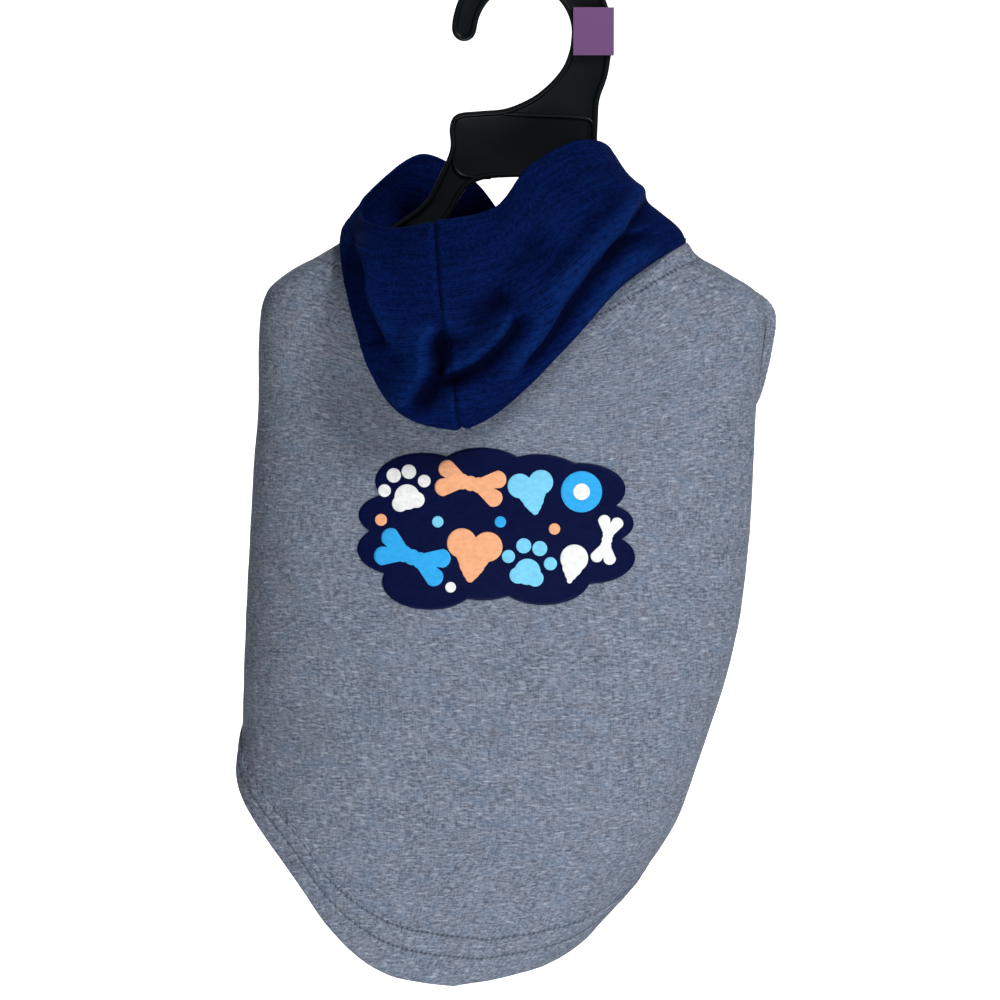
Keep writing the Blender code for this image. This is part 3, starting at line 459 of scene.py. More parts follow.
def foldRelief(a, b):
    # each fold is a soft step: it stands out on its left and sinks on its right, and both die away
    total = np.zeros(a.shape)
    for line, up, upReach, sink, sinkReach, soft in hoodFolds:
        path = lineThrough(line)
        run = runAlong(path)
        best, side, share = np.full(a.shape, 1e9), np.zeros(a.shape), np.zeros(a.shape)
        for k in range(len(path) - 1):
            d = path[k + 1] - path[k]
            t = np.clip(((a - path[k, 0]) * d[0] + (b - path[k, 1]) * d[1]) / (d @ d), 0, 1)
            ex, ez = a - path[k, 0] - t * d[0], b - path[k, 1] - t * d[1]
            far = np.hypot(ex, ez)
            closer = far < best
            best = np.where(closer, far, best)
            side = np.where(closer, np.sign(d[0] * ez - d[1] * ex), side)
            share = np.where(closer, (run[k] + t * (run[k + 1] - run[k])) / run[-1], share)
        fade = smoothStep(share / 0.22) * smoothStep((1 - share) / 0.22)
        blend = 0.5 + 0.5 * np.tanh(best * side / soft)
        total += fade * (blend * ridge(best, up, upReach) - (1 - blend) * ridge(best, sink, sinkReach))
    return total


def hoodColumns(shares, along):
    # at each share a spline from the neck seam over the bottom fold and the front to the rim
    size = body["neckHalfWidth"], body["neckHalfDepth"], hood["fall"]
    ring = roundAt(shares, hoodRings)
    rim, front, fold = (ring[:, k:k + 3] * size + (0, 0, body["neckZ"]) for k in (0, 3, 6))
    roll, stand = ring[:, 9:10] * hood["roll"], ring[:, 10:] * hood["roll"]
    up = np.array([0.0, 0.0, 1.0])
    neck = bodyBase(shares, np.zeros(len(shares))) + hood["gap"] * up
    middle = sectionAt(np.array(0.0))["middle"]
    out = unit((fold - (middle, 0, 0)) * (1, 1, 0))
    flat = 1 - roll / hood["roll"]
    lines = np.stack([neck, neck + stand * (0.9 * out + 0.5 * up) + 0.3 * flat * (fold - neck),
                      fold + roll * (0.4 * up - 0.8 * out) - 0.2 * flat * (fold - neck),
                      fold + roll * (0.4 * up + 0.8 * out) + 0.2 * flat * (front - fold), front, rim])
    length = np.linalg.norm(np.diff(lines, axis=0), axis=2) + 1e-4
    places = np.concatenate([np.zeros((1, len(shares))), np.cumsum(np.sqrt(length), 0)])
    places /= places[-1]
    columns = [splineWeights(along[:, c], places[:, c]) @ lines[:, c] for c in range(len(shares))]
    return np.stack(columns, 1), places


def makeHoodHalf(name, first, last, columns, rows, material, node):
    # the column splines, with folds, a sunk centre seam, a sewn rim hem and small puckers on top, and the
    # painted shade and highlight of the folds
    shares = np.linspace(first, last, columns)
    even = np.linspace(0, 1, 400)[:, None] * np.ones(columns)
    run = runAlong(hoodColumns(shares, even)[0])
    want = np.linspace(0, 1, rows)
    along = np.stack([np.interp(want * run[-1, c], run[:, c], even[:, c]) for c in range(columns)], 1)
    points, places = hoodColumns(shares, along)
    onFront = smoothStep((along - places[3] + 0.02) / (0.4 * (places[4] - places[3])))
    facing = smoothStep((4 * mm - points[..., 1]) / body["neckHalfDepth"]) * onFront
    fromRim = (1 - want)[:, None] * run[-1]
    around = runAlong(points.swapaxes(0, 1)).T
    fromCentre = around[:, -1:] - around if first < 0.25 else around
    calm = 0.35 + 0.65 * smoothStep(fromRim / (9 * mm))
    height = foldRelief(*seenFromBack(points)) * mm * facing * calm
    # painted shade and highlight: near 1 where the cloth lies deepest below its blurred self, near 0 on the
    # crests, sent to the material in the second UV layer
    paintedShading = 0.5 + 0.5 * np.clip((softened(height, hood["blur"]) - height) / hood["depth"], -1, 1)
    u = shares[None, :] * hood["girth"]
    height += (0.35 * waves(u, fromRim, 11, 30 * mm, 2) + 0.10 * waves(u, fromRim, 12, 9 * mm, 2)) * mm
    height += ridge(fromCentre, -0.9 * mm, 0.9 * mm) + ridge(fromCentre - 2.2 * mm, 0.35 * mm, 1.3 * mm)
    height += 0.28 * mm * smoothStep((hood["hem"] + 0.8 * mm - fromRim) / (1.2 * mm))
    height -= 0.7 * mm * np.clip(1 - fromRim / (1.1 * mm), 0, 1) ** 2
    height += ridge(fromRim - hood["row"], -0.35 * mm)
    height *= smoothStep((along - 0.10) / 0.15)
    points = points - gridNormals(points) * height[..., None]
    # kept clear of the back panel, away from the neck and the flanks
    x, y, z = (points[..., k] for k in range(3))
    surface, cut = backPanelY(x, z)
    limit = surface - (hood["wall"] + hood["clearance"]) * smoothStep(along / 0.1)
    borders = smoothStep((1 - np.abs(x - cut["middle"]) / cut["reach"]) / 0.14) * smoothStep(-y / (8 * mm))
    borders *= smoothStep((body["neckZ"] + 0.05 * hood["fall"] - z) / (0.06 * hood["fall"]))
    points[..., 1] = y - np.maximum(y - limit, 0) * borders
    obj = addMesh(name, points.reshape(-1, 3), gridQuads(rows, columns, flipped=True),
                  pairs(u, fromRim), pairs(paintedShading, fromRim))
    # the wall thins towards the neck seam, where the cloth turns tightly
    percent = np.round(100 * (0.35 + 0.65 * smoothStep((along - 0.06) / 0.20))).ravel()
    group = obj.vertex_groups.new(name="Thick")
    for value in np.unique(percent):
        group.add(np.flatnonzero(percent == value).tolist(), value / 100, "REPLACE")
    addWall(obj, hood["wall"]).vertex_group = "Thick"
    return place(obj, material, "navy_jersey", node)


bandReach = np.array([(1.00, 0.20, 0.15), (0.80, 0.60, 0.05), (0.05, 1.00, -0.10), (0.45, 1.10, 0.00)])
bandSize = {"length": 8 * mm, "join": 0.5 * mm, "wall": 2.0 * mm, "ribs": 58}


def makeBand(side, material, node):
    # the opening's edge carried outward in a direction that changes round it, with ribs and a rounded rim
    hole = legHoles[side]
    right = 1 if side == "right" else -1
    columns, rows = 464, 22
    turn = np.arange(columns) / columns
    small = 1 - 0.45 * mm / legHole["half"]
    level = (legHole["drop"] - legHole["half"] * small * np.cos(2 * math.pi * turn)) / body["drop"]
    share = hole["share"] - right * legHole["halfShare"] * small * np.sin(2 * math.pi * turn)
    root, _ = bodySurface(share, level)
    reach = roundAt(turn, bandReach) * bandSize["length"] * (right * hole["flare"], 1, 1)
    facing = math.radians(hole["facing"])
    axis = np.array([math.cos(facing), math.sin(facing), 0.0])
    steps = np.linspace(-0.35, 1, rows)
    points = np.stack([root + (reach * s if s > 0 else axis * bandSize["length"] * s) for s in steps])
    out = unit(points - points.mean(axis=1, keepdims=True))
    rib = 0.5 + 0.5 * np.cos(2 * math.pi * bandSize["ribs"] * turn)
    rim = (np.clip((steps - 0.86) / 0.14, 0, 1) ** 2)[:, None]
    seam = ridge(steps - 0.06, 1, 0.07)[:, None]
    height = 0.22 * mm * rib * (1 - rim) - 0.8 * mm * rim - 0.35 * mm * seam
    points = points + out * height[..., None]
    uv = pairs(turn * 150 * mm, (steps * bandSize["length"])[:, None])
    quads = gridQuads(rows, columns, closed=True, flipped=side == "right")
    obj = addMesh(f"{side}LegBand", points.reshape(-1, 3), quads, uv)
    addWall(obj, bandSize["wall"])
    return place(obj, material, "speckled_rib", node)


def capsules(middles, ways, ups, length, radius, bow):
    # one lying thread for each place: a stretched ball, bowed down at its ends
    around, steps = 6, 7
    t = np.linspace(-1, 1, steps)[:, None]
    angle = (np.arange(around) * 2 * math.pi / around)[:, None]
    thick = radius * np.sqrt(np.clip(1 - t ** 4, 0.02, 1))[..., None]
    line = middles[:, None] + ways[:, None] * t * length / 2 - ups[:, None] * bow * t ** 2
    ring = np.cross(ups, ways)[:, None, None] * np.cos(angle) + ups[:, None, None] * np.sin(angle)
    points = line[:, :, None] + ring * thick
    starts = (np.arange(len(middles)) * steps * around)[:, None, None]
    quads = gridQuads(steps, around, closed=True, flipped=True) + starts
    return points.reshape(-1, 3), quads.reshape(-1, 4)


def rowSurface(share, row, far, lift=0.0):
    # points along a row of stitches, which runs that far above the hem's edge or below the neck
    down = far / body["drop"]
    return bodySurface(share, hemLevel(share) - down if row is hem else np.full(len(share), down), lift)


def makeHemThreads(material):
    # a thread between each two needle holes of the hem's rows and the neck's row
    parts = []
    for far, row in [(far, hem) for far in hem["rows"]] + [(neckStitch["far"], neckStitch)]:
        count = int(body["girth"] / row["pitch"])
        share = (np.arange(1, count) + 0.5) * row["pitch"] / body["girth"]
        step = 0.3 * row["pitch"] / body["girth"]
        middle, up = rowSurface(share, row, far, 0.05 * mm)
        way = rowSurface(share + step, row, far)[0] - rowSurface(share - step, row, far)[0]
        length = np.linalg.norm(way, axis=1).mean() / 0.6 * 0.78
        parts.append(capsules(middle, unit(way), up, length, 0.14 * mm, 0.20 * mm))
    place(addMesh("stitchThreads", *joined(parts)), material, "grey_fleece")


# Print: every outline is the union of round lobes, each with its centre and radius
printArea = {"x": -10 * mm, "z": -192 * mm, "halfWidth": 49 * mm, "halfHeight": 28.5 * mm, "thick": 0.55 * mm}
backingLobes = ((-0.52, 0.58, 0.35), (-0.10, 0.66, 0.34), (0.30, 0.56, 0.36), (0.60, 0.48, 0.33),
                (0.74, 0.06, 0.25), (0.68, -0.36, 0.32), (0.34, -0.60, 0.34), (-0.10, -0.52, 0.36),
                (-0.48, -0.66, 0.34), (-0.68, -0.26, 0.32), (-0.72, 0.16, 0.27), (0.0, 0.0, 0.66))
motifs = {
    "bone": (((-0.74, 0.27, 0.27), (-0.74, -0.27, 0.27), (0.74, 0.27, 0.27), (0.74, -0.27, 0.27),
              (-0.45, 0, 0.25), (-0.25, 0, 0.23), (0, 0, 0.22), (0.25, 0, 0.23), (0.45, 0, 0.25)),),
    "heart": (((-0.40, 0.30, 0.46), (0.40, 0.30, 0.46), (0, 0, 0.52), (0, -0.28, 0.40), (0, -0.52, 0.27),
               (0, -0.74, 0.13)),),
    "paw": (((0, -0.28, 0.42), (-0.28, -0.44, 0.27), (0.28, -0.44, 0.27)), ((-0.68, 0.10, 0.21),),
            ((-0.26, 0.52, 0.24),), ((0.26, 0.52, 0.24),), ((0.68, 0.10, 0.21),)),
    "ball": (((0, 0, 0.74),),),
    "spot": (((0, 0, 0.30),),),
    "dot": (((0, 0, 0.30),),),
    "drop": (((0, -0.22, 0.50), (0, 0.10, 0.36), (0, 0.36, 0.22), (0, 0.60, 0.10)),),
}
# motif, colour, centre across and up from the print's middle in mm, size in mm, turn in degrees
printLayout = (
    ("paw", "white", -32, 14, 10.6, 14), ("bone", "coral", -9, 16, 12, -12),
    ("heart", "sky", 12.5, 13, 9.4, 10), ("ball", "blue", 30, 13, 9.8, 0),
    ("spot", "white", 30, 13, 9.8, 0), ("dot", "coral", -40.5, 3, 7, 0),
    ("bone", "blue", -29.5, -10, 12.8, -22), ("heart", "coral", -8, -9, 11.4, -8),
    ("paw", "sky", 11.5, -12, 11, -10), ("drop", "white", 27, -12.5, 9.8, 168),
    ("bone", "white", 39, -4, 8.4, 78), ("dot", "sky", -20.5, 2.5, 6.6, 0),
    ("dot", "blue", 1.5, 2.5, 6.6, 0), ("dot", "coral", 20.5, 0, 6.6, 0),
    ("dot", "white", -16, -20.5, 6.2, 0),
)


def lobeReach(lobes, angles):
    # the farthest point of any lobe along each direction from the middle
    middle = np.array(lobes[0][:2]) if len(lobes) == 1 else np.zeros(2)
    reach = np.zeros(len(angles))
    for x, z, radius in lobes:
        x, z = x - middle[0], z - middle[1]
        along = np.cos(angles) * x + np.sin(angles) * z
        aside = np.sin(angles) * x - np.cos(angles) * z
        edge = along + np.sqrt(np.maximum(radius ** 2 - aside ** 2, 0))
        reach = np.where(np.abs(aside) < radius, np.maximum(reach, edge), reach)
    return reach, middle


def patch(lobes, centre, size, turn, spokes, rings, low, high, soft):
    # spokes from the middle to the outline, laid on the back panel: a flat top, a rounded edge, a wall down
    angles = 2 * math.pi * np.arange(spokes) / spokes
    reach, middle = lobeReach(lobes, angles)
    share = np.append(np.linspace(0.04, 1, rings) ** 0.8, 1)[:, None]
    x = (middle[0] + share * reach * np.cos(angles)) * size[0]
    z = (middle[1] + share * reach * np.sin(angles)) * size[1]
    c, s = math.cos(turn), math.sin(turn)
    x, z = centre[0] + x * c - z * s, centre[1] + x * s + z * c
    fromEdge = (1 - share) * reach * min(size)
    lift = low + (high - low) * np.sqrt(np.clip(fromEdge / soft, 0.35, 1))
    lift[-1] = low - 0.3 * mm
    points, _ = bodySurface(*fromPicture(x, z), lift)
    even = np.arange(0, spokes, 2)
    hub = np.full(len(even), (rings + 1) * spokes)
    fan = np.stack([even, even + 1, (even + 2) % spokes, hub], -1)
    corners = np.concatenate([points.reshape(-1, 3), [points[0].mean(axis=0)]])
    quads = np.concatenate([gridQuads(rings + 1, spokes, closed=True), fan])
    return corners, quads, np.concatenate([pairs(x, z), [centre]])


def makePrint(materials):
    # the backing, then the motifs of each colour as one piece
    middle, thick = (printArea["x"], printArea["z"]), printArea["thick"]
    whole = printArea["halfWidth"], printArea["halfHeight"]
    backing = patch(backingLobes, middle, whole, 0, 400, 70, 0.05 * mm, thick, 0.5 * mm)
    place(addMesh("printBacking", *backing), materials["backing"], "print_ink", "back_print")
    for colour in ("white", "coral", "sky", "blue"):
        parts = []
        for motif, its, x, z, size, degrees in printLayout:
            if its != colour:
                continue
            centre = middle[0] + x * mm, middle[1] + z * mm
            low = thick + (0.22 * mm if motif == "spot" else 0)  # the spot lies on the ball
            for lobes in motifs[motif]:
                parts.append(patch(lobes, centre, (size * mm, size * mm), math.radians(degrees), 96, 14,
                                   low, low + 0.24 * mm, 0.35 * mm))
        place(addMesh(f"print{colour.title()}", *joined(parts)), materials[colour], "print_ink")


# Hanger: its edge in shares of half the plate's width and of the plate's drop below the hook
hanger = {"halfPlate": 26.5 * mm, "drop": 45 * mm, "hook": 17 * mm, "tip": 9 * mm, "stem": 14.4 * mm,
          "web": 1.2 * mm, "rim": 2.5 * mm, "rimWidth": 1.9 * mm, "arm": 13 * mm, "clear": 7.5 * mm}
stemRight = ((1.185, 0.50), (1.125, 0.72), (1.02, 0.90), (1.00, 1.04), (1.00, 1.34))
stemLeft = ((-1.00, 1.30), (-1.01, 1.13), (-0.92, 1.02), (-0.60, 0.995), (-0.25, 0.975), (0.08, 0.895),
            (0.27, 0.815), (0.41, 0.735), (0.54, 0.63), (0.62, 0.50))
armTop = ((1.17, 1.53), (1.36, 1.72), (1.77, 1.90))
armUnder = ((2.70, 2.58), (2.15, 2.37), (1.65, 2.15), (1.17, 1.95), (0.93, 1.76), (0.78, 1.61), (0.45, 1.53))
armLevels = np.array((0.004, 0.022, 0.042, 0.056))  # body levels where the arms run beside the neck


def hangerEdge():
    # hook outside, right edge, both arms, left edge and hook inside, spaced evenly
    scale = np.array([hanger["halfPlate"], -hanger["drop"]])
    sweep = np.linspace(0, 1, 60)
    angle = math.pi * (1 - sweep) * 0.98
    width = hanger["tip"] + (hanger["stem"] - hanger["tip"]) * smoothStep(sweep * 1.1)
    way = np.stack([np.cos(angle), np.sin(angle)], 1)
    centre = np.array([0.0, -hanger["hook"]])
    outside = centre + way * (hanger["hook"] + width)[:, None]
    inside = (centre + way * hanger["hook"])[::-1]
    cut = sectionAt(armLevels)
    arms = []
    for side in (1, -1):
        reach = cut["reach"] + side * cut["middle"] - hanger["clear"]
        under = np.stack([reach, body["neckZ"] - body["drop"] * armLevels], 1)
        end = under[-1] + (0.53 * mm, -0.35 * hanger["arm"])
        line = np.concatenate([np.array(armTop) * scale, under, [end], np.array(armUnder) * scale])
        arms.append(line * (side, 1))
    right, left = np.array(stemRight) * scale, np.array(stemLeft) * scale
    middle = lineThrough(np.concatenate([right, arms[0], arms[1][::-1], left]), 10)
    turn = math.pi * np.linspace(1.90, 1.06, 9)
    way = np.stack([np.cos(turn), np.sin(turn)], 1)
    tip = (outside[0] + inside[-1]) / 2 + way * hanger["tip"] / 2
    line = np.concatenate([outside, middle, inside, tip, outside[:1]])
    run = runAlong(line)
    even = np.linspace(0, run[-1], int(run[-1] / (0.9 * mm)))[:-1]
    return np.stack([np.interp(even, run, line[:, k]) for k in (0, 1)], 1)


def makeHanger(material):
    # a flat web with a rounded rim: the edge line moved inward by each step of a cross section
    edge = hangerEdge()
    for _ in range(3):
        edge = (np.roll(edge, 1, 0) + 2 * edge + np.roll(edge, -1, 0)) / 4
    along = unit(np.roll(edge, -2, 0) - np.roll(edge, 2, 0))
    half, wide, web = hanger["rim"], hanger["rimWidth"], hanger["web"]
    face = np.array([(wide + 0.9 * mm, web), (wide + 0.25 * mm, web + 0.15 * mm), (wide, half - 0.5 * mm),
                     (wide - 0.25 * mm, half - 0.12 * mm), (wide - 0.6 * mm, half), (0.6 * mm, half),
                     (0.22 * mm, half - 0.2 * mm), (0.03 * mm, half - 0.6 * mm)])
    profile = np.concatenate([face * (1, -1), [(0, 0)], face[::-1]])
    inset, y = profile[:, :1], profile[:, 1:]
    x, z = edge[:, 0] + along[:, 1] * inset, edge[:, 1] - along[:, 0] * inset
    points = np.stack(np.broadcast_arrays(x, y, z), -1).reshape(-1, 3)
    numbers = np.arange(len(points)).reshape(x.shape)
    faces = gridQuads(*x.shape, closed=True).tolist() + [numbers[0].tolist(), numbers[-1, ::-1].tolist()]
    mesh = bpy.data.meshes.new("hangerBody")
    mesh.from_pydata(points.tolist(), [], faces)
    mesh.update()
    mesh.polygons.foreach_set("use_smooth", np.ones(len(faces), bool))
    mesh.set_sharp_from_angle(angle=math.radians(50))
    place(linked("hangerBody", mesh), material, "black_plastic", "hanger")


# the plate's border away from its edge, round its lower left and its upper right corner, in the same shares
plateBorders = (
    ((-0.95, 1.36), (-0.94, 1.43), (-0.88, 1.49), (-0.78, 1.515), (-0.62, 1.52), (-0.45, 1.52)),
    ((-0.30, 1.015), (0.10, 1.03), (0.50, 1.04), (0.78, 1.05), (0.90, 1.075), (0.94, 1.14), (0.945, 1.25),
     (0.945, 1.42)),
)


def makePlateBorders(material):
    # a half-round ridge along each border on both faces: its profile turns round the line
    parts = []
    turns = np.radians(np.arange(0, 181, 20))[:, None]
    out, low = 0.8 * mm * np.cos(turns), hanger["web"] - 0.2 * mm
    for border in plateBorders:
        line = lineThrough(np.array(border) * (hanger["halfPlate"], -hanger["drop"]), 8)
        along = unit(np.gradient(line, axis=0))
        x, z = line[:, 0] + along[:, 1] * out, line[:, 1] - along[:, 0] * out
        for side in (-1, 1):
            y = side * (low + 1.1 * mm * np.sin(turns))
            points = np.stack(np.broadcast_arrays(x, y, z), -1).reshape(-1, 3)
            parts.append((points, gridQuads(*x.shape, flipped=side > 0)))
    place(addMesh("plateBorders", *joined(parts)), material, "black_plastic")


class Socket:
    # a shader value: sums, products and powers of it are made as Math nodes
    def __init__(self, shade, socket):
        self.shade, self.socket = shade, socket

    def maths(self, operation, other=0.0):
        return self.shade.node("ShaderNodeMath", {"operation": operation}, {0: self, 1: other})

    def __add__(self, other):
        return self.maths("ADD", other)

    def __sub__(self, other):
        return self.maths("SUBTRACT", other)

    def __mul__(self, other):
        return self.maths("MULTIPLY", other)

    def __truediv__(self, other):
        return self.maths("DIVIDE", other)

    def __pow__(self, other):
        return self.maths("POWER", other)

    def cosine(self, pitch):
        # a wave from -1 to 1
        return (self * (2 * math.pi / pitch)).maths("COSINE")

    def ripple(self, pitch):
        # a wave from 0 to 1
        return self.cosine(pitch) * 0.5 + 0.5

    def hump(self, width):
        # 1 where the value is 0, falling to nothing within about twice the width
        scaled = self / width
        return (scaled * scaled * -1.0).maths("EXPONENT")

    def step(self, low, high):
        # 0 below low, 1 above high, smooth between
        inputs = {"Value": self, "From Min": low, "From Max": high}
        return self.shade.node("ShaderNodeMapRange", {"interpolation_type": "SMOOTHSTEP"}, inputs)


class Shade:
    # a material: makes nodes and sets or links their inputs
    def __init__(self, name, color, roughness, **settings):
        self.material = bpy.data.materials.new(name)
        self.material.use_nodes = True
        self.tree = self.material.node_tree
        self.base = self.tree.nodes["Principled BSDF"]
        self.put("Base Color", (*color, 1.0))
        self.put("Roughness", roughness)
        for label, value in settings.items():
            self.put(label.replace("_", " "), value)

    def put(self, label, value, node=None):
        socket = (node or self.base).inputs[label]
        if isinstance(value, Socket):
            self.tree.links.new(value.socket, socket)
        else:
            socket.default_value = value

    def node(self, kind, settings=None, inputs=None, output=0):
        node = self.tree.nodes.new(kind)
        for key, value in (settings or {}).items():
            setattr(node, key, value)
        for key, value in (inputs or {}).items():
            self.put(key, value, node)
        return Socket(self, node.outputs[output])

    def cloth(self, label="Cloth"):
        both = self.node("ShaderNodeUVMap", {"uv_map": label})
        return [self.node("ShaderNodeSeparateXYZ", None, {"Vector": both}, k) for k in (0, 1)]

    def noise(self, u, v, wide, high, seed=0.0, detail=2.0):
        # seeded noise whose blobs are about that wide and high in the cloth's own plane
        place = self.node("ShaderNodeCombineXYZ", None, {"X": u / wide, "Y": v / high, "Z": seed})
        return self.node("ShaderNodeTexNoise", None, {"Vector": place, "Scale": 0.7, "Detail": detail})

    def mix(self, factor, first, second):
        first, second = ((*c, 1.0) if isinstance(c, tuple) else c for c in (first, second))
        return self.node("ShaderNodeMix", {"data_type": "RGBA"}, {0: factor, 6: first, 7: second}, 2)

    def bump(self, height, depth, strength):
        inputs = {"Height": height, "Distance": depth, "Strength": strength}
        self.put("Normal", self.node("ShaderNodeBump", None, inputs))


def makeFleece(name, turned):
    # grey heather: short lying flecks, pale and dark, over soft mottling, with needle holes along the rows
    shade = Shade(name, fleece["mid"], fleece["roughness"], Sheen_Weight=fleece["sheen"],
                  Sheen_Roughness=0.45, Sheen_Tint=(0.80, 0.86, 1.0, 1.0), Specular_IOR_Level=0.2)
    u, v = shade.cloth()
    long, high = fleece["fleck"]
    x, y = (v, u) if turned else (u, v + shade.noise(u, v, 30 * mm, 30 * mm, 3.0) * (4 * mm))
    flecks = shade.noise(x, y, long, high, 0.0)
    fine = shade.noise(x, y, 0.45 * long, 0.7 * high, 7.0)
    broad = shade.noise(x, y, 5 * long, 8 * high, 13.0)
    wale = shade.noise(x, y, 0.45 * mm, 3.5 * mm, 17.0)
    tone = (flecks - 0.5) * 1.5 + (fine - 0.5) * 1.3 + (broad - 0.5) * 0.4 + (wale - 0.5) * 0.8 + 0.5
    cloth = shade.mix(tone.step(-0.1, 1.1), fleece["dark"], fleece["light"])
    for label, seed, amount in (("warm", 21.0, 0.28), ("cool", 29.0, 0.32)):
        patch = shade.noise(x, y, 3.2 * long, 5 * high, seed).step(0.50, 0.72)
        cloth = shade.mix(patch * amount, cloth, fleece[label])
    pale = shade.noise(x, y, 1.4 * long, 1.1 * high, 37.0).step(0.56, 0.74)
    cloth = shade.mix(pale * 0.70, cloth, fleece["pale"])
    deep = shade.noise(x, y, 0.7 * long, 0.9 * high, 43.0).step(0.62, 0.78)
    cloth = shade.mix(deep * 0.35, cloth, fleece["deep"])
    knit = u.cosine(1.25 * mm) * v.cosine(1.0 * mm)
    fuzz = shade.noise(u, v, 0.9 * mm, 0.9 * mm, 5.0, 4.0)
    if turned:
        holes = (v - bandSize["join"]).hump(0.45 * mm)
    else:
        seamU, seamV = shade.cloth("Seam")
        rows = [(seamU, seamV, far, hem["pitch"]) for far in hem["rows"]]
        holes = 0.0
        for along, across, far, pitch in rows + [(u, v, neckStitch["far"], neckStitch["pitch"])]:
            holes = (across - far).hump(0.50 * mm) * along.ripple(pitch) ** 3.0 + holes
    cloth = shade.mix(holes * 0.85, cloth, fleece["hole"])
    height = knit * 0.10 + fuzz * 0.9 + flecks * 0.4 - holes * 1.2
    shade.put("Base Color", cloth)
    shade.bump(height, 0.30 * mm, 0.8)
    return shade.material


def makeJersey():
    # navy jersey: fine ribs across, a soft pile that lights up at grazing angles, holes along the rim's hem,
    # painted shade in the folds' hollows and painted highlight on their crests
    shade = Shade("Navy jersey", jersey["mid"], jersey["roughness"], Sheen_Weight=jersey["sheen"],
                  Sheen_Roughness=0.40, Sheen_Tint=(*jersey["tint"], 1.0), Specular_IOR_Level=0.02)
    u, v = shade.cloth()
    lines = v.ripple(jersey["rib"])
    wales = u.ripple(1.1 * mm)
    fuzz = shade.noise(u, v, 0.9 * mm, 0.7 * mm, 2.0, 3.0)
    streak = shade.noise(u, v, 9 * mm, 0.9 * mm, 9.0)
    holes = (v - hood["row"]).hump(0.6 * mm) * u.ripple(hood["pitch"]) ** 5.0
    tone = (streak - 0.5) * 1.0 + (fuzz - 0.5) * 1.6 + lines * 0.20 + 0.40
    cloth = shade.mix(tone.step(0.0, 1.0), jersey["dark"], jersey["light"])
    # painted shade: the deep colour mixed into the folds' hollows; painted highlight: the lit colour mixed
    # onto their crests
    paintedShading = shade.cloth("Seam")[0]
    cloth = shade.mix(paintedShading.step(0.50, 1.00) * 0.88, cloth, jersey["deep"])
    paintedHighlight = (paintedShading * -1.0).step(-0.50, -0.05) * (tone.step(-0.3, 1.0) * 0.75)
    cloth = shade.mix(paintedHighlight, cloth, jersey["lit"])
    shade.put("Base Color", shade.mix(holes * 0.35, cloth, jersey["deep"]))
    shade.bump(lines * 0.30 + wales * 0.10 + fuzz * 0.8 - holes * 1.5, 0.25 * mm, 0.7)
    return shade.material


def makeInk(name, color, roughness=0.46):
    # printed film over the knit: the cloth's ribs show faintly through it
    shade = Shade(name, color, roughness, Specular_IOR_Level=0.08)
    u, v = shade.cloth()
    grain = shade.noise(u, v, 1.6 * mm, 1.0 * mm, 1.0, 4.0)
    soft = shade.noise(u, v, 7 * mm, 5 * mm, 6.0)
    shade.put("Roughness", grain * 0.16 + (roughness - 0.08))
    darker = tuple(0.86 * c for c in color)
    shade.put("Base Color", shade.mix(grain.step(0.3, 0.7), darker, color))
    shade.bump(grain * 0.7 + soft * 0.8, 0.22 * mm, 0.7)
    return shade.material


def makePlastic(name, color, roughness, grainDepth, gloss):
    # moulded plastic with a faint orange-peel surface
    shade = Shade(name, color, roughness, Specular_IOR_Level=gloss)
    place = shade.node("ShaderNodeTexCoord", output=3)
    grain = shade.node("ShaderNodeTexNoise", None, {"Vector": place, "Scale": 900.0, "Detail": 2.0})
    smear = shade.node("ShaderNodeTexNoise", None, {"Vector": place, "Scale": 60.0, "Detail": 3.0})
    shade.put("Roughness", smear * 0.14 + (roughness - 0.07))
    shade.bump(grain, grainDepth, 0.6)
    return shade.material


fleece = {"mid": (0.17, 0.20, 0.26), "dark": (0.070, 0.083, 0.118), "light": (0.262, 0.302, 0.385),
          "warm": (0.205, 0.195, 0.225), "cool": (0.120, 0.190, 0.285), "pale": (0.40, 0.44, 0.52),
          "deep": (0.045, 0.055, 0.085), "hole": (0.020, 0.024, 0.040),
          "fleck": (1.9 * mm, 0.60 * mm), "roughness": 0.95, "sheen": 0.10}
jersey = {"mid": (0.0015, 0.008, 0.055), "dark": (0.0008, 0.0036, 0.031), "light": (0.0019, 0.0102, 0.080),
          "deep": (0.0004, 0.0015, 0.012), "lit": (0.0030, 0.021, 0.125),  # deep: painted shade in the folds and the rim's needle holes; lit: painted highlight on the folds' crests
          "tint": (0.03, 0.14, 0.80), "rib": 1.05 * mm, "roughness": 0.9, "sheen": 0.07}
inks = {"backing": (0.0010, 0.0038, 0.040), "white": (0.90, 0.93, 0.92), "coral": (0.95, 0.45, 0.24),
        "sky": (0.21, 0.66, 0.94), "blue": (0.035, 0.42, 0.90)}

fleeceCloth = makeFleece("Grey heather fleece", False)
ribCloth = makeFleece("Grey heather rib", True)
jerseyCloth = makeJersey()
inkFilms = {name: makeInk(f"Print {name}", color) for name, color in inks.items()}
thread = Shade("Grey thread", (0.085, 0.095, 0.125), 0.7, Sheen_Weight=0.1).material
blackPlastic = makePlastic("Black plastic", (0.0022, 0.0038, 0.0050), 0.36, 0.03 * mm, 0.20)
purplePlastic = makePlastic("Purple plastic", (0.160, 0.070, 0.195), 0.40, 0.02 * mm, 0.3)
print("materials made")

left, right = body["leftSeam"], body["rightSeam"]
backPanel = makePanel("backPanel", left, right, 210, 190, fleeceCloth, "back_panel")
chestPanel = makePanel("chestPanel", right - 1, left, 120, 120, fleeceCloth, "chest_panel")
print("body panels made")

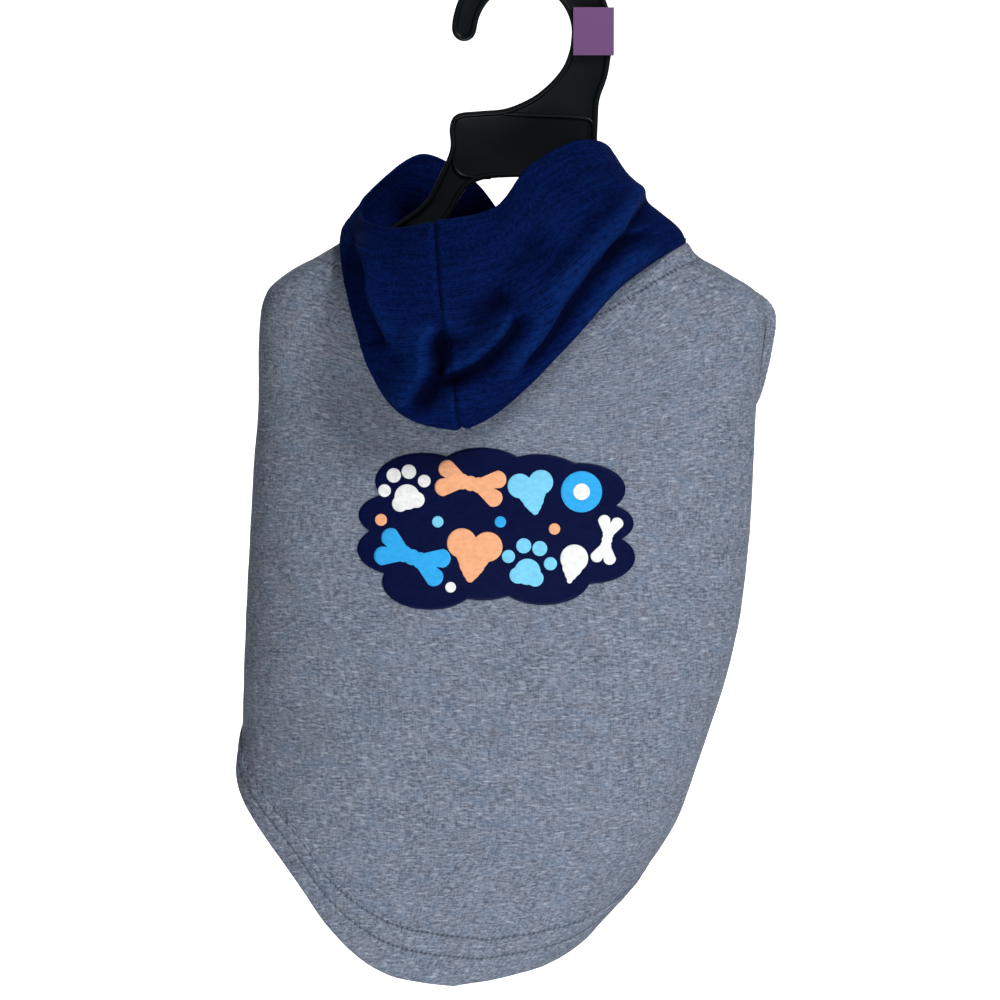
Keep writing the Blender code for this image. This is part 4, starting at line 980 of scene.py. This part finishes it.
hoodLeft = makeHoodHalf("hoodLeft", 0.0, 0.5, 200, 200, jerseyCloth, "hood_left")
hoodRight = makeHoodHalf("hoodRight", 0.5, 1.0, 200, 200, jerseyCloth, "hood_right")
print("hood made")

bandLeft = makeBand("left", ribCloth, "leg_band_left")
bandRight = makeBand("right", ribCloth, "leg_band_right")
makeHemThreads(thread)
print("bands and threads made")

makePrint(inkFilms)
print("print made")

makeHanger(blackPlastic)
makePlateBorders(blackPlastic)
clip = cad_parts["size_clip"]
clip.data.materials.clear()
clip.data.materials.append(purplePlastic)
softEdge = clip.modifiers.new("Soft edge", "BEVEL")
softEdge.width, softEdge.segments, softEdge.limit_method = 0.35 * mm, 3, "ANGLE"
print("hanger made")


def areaLight(name, spot, aim, size, power):
    lamp = bpy.data.lights.new(name, "AREA")
    lamp.shape, lamp.size, lamp.energy = "DISK", size, power
    obj = linked(name, lamp)
    obj.location = spot
    obj.rotation_euler = (Vector(aim) - Vector(spot)).to_track_quat("-Z", "Y").to_euler()


studio = {"floor": -1.3, "backdrop": 2.8, "world": 0.20, "white": 1.05, "lights": {  # place, aim, size, power
    "key": ((0.85, -1.05, 1.10), (0, 0, -0.2), 0.5, 22.5),
    "fill": ((0.1, -1.2, -1.1), (0, 0, -0.34), 0.9, 16.5),
    "side": ((1.5, -1.1, 0.2), (0, 0, -0.2), 0.9, 0.5)}}

corners = [(x, y, studio["floor"]) for y in (-4, 4) for x in (-4, 4)]
floor = addMesh("floor", corners, gridQuads(2, 2))
floor.data.materials.append(Shade("Pale floor", (0.85, 0.85, 0.85), 0.9).material)
corners = [(x, studio["backdrop"], z) for z in (studio["floor"], 1.6) for x in (-1.8, 1.8)]
backdrop = addMesh("backdrop", corners, gridQuads(2, 2))
glow = {"Emission_Color": (1.0, 1.0, 1.0, 1.0), "Emission_Strength": studio["white"]}
backdrop.data.materials.append(Shade("White backdrop", (0.9, 0.9, 0.9), 0.9, **glow).material)

world = bpy.data.worlds.new("Studio")
bpy.context.scene.world = world
world.use_nodes = True
background = world.node_tree.nodes["Background"].inputs
background["Color"].default_value = (1.0, 1.0, 1.0, 1.0)
background["Strength"].default_value = studio["world"]
bpy.context.scene.view_settings.view_transform = "Standard"
for name, values in studio["lights"].items():
    areaLight(name, *values)

lens = bpy.data.cameras.new("Camera")
lens.sensor_width = 36
lens.lens = lens.sensor_width * view["far"] / view["width"]
camera = linked("Camera", lens)
aim = Vector(view["aim"])
camera.location = aim + view["far"] * Vector((0, -math.cos(view["elevation"]), math.sin(view["elevation"])))
camera.rotation_euler = (aim - camera.location).to_track_quat("-Z", "Y").to_euler()
bpy.context.scene.camera = camera
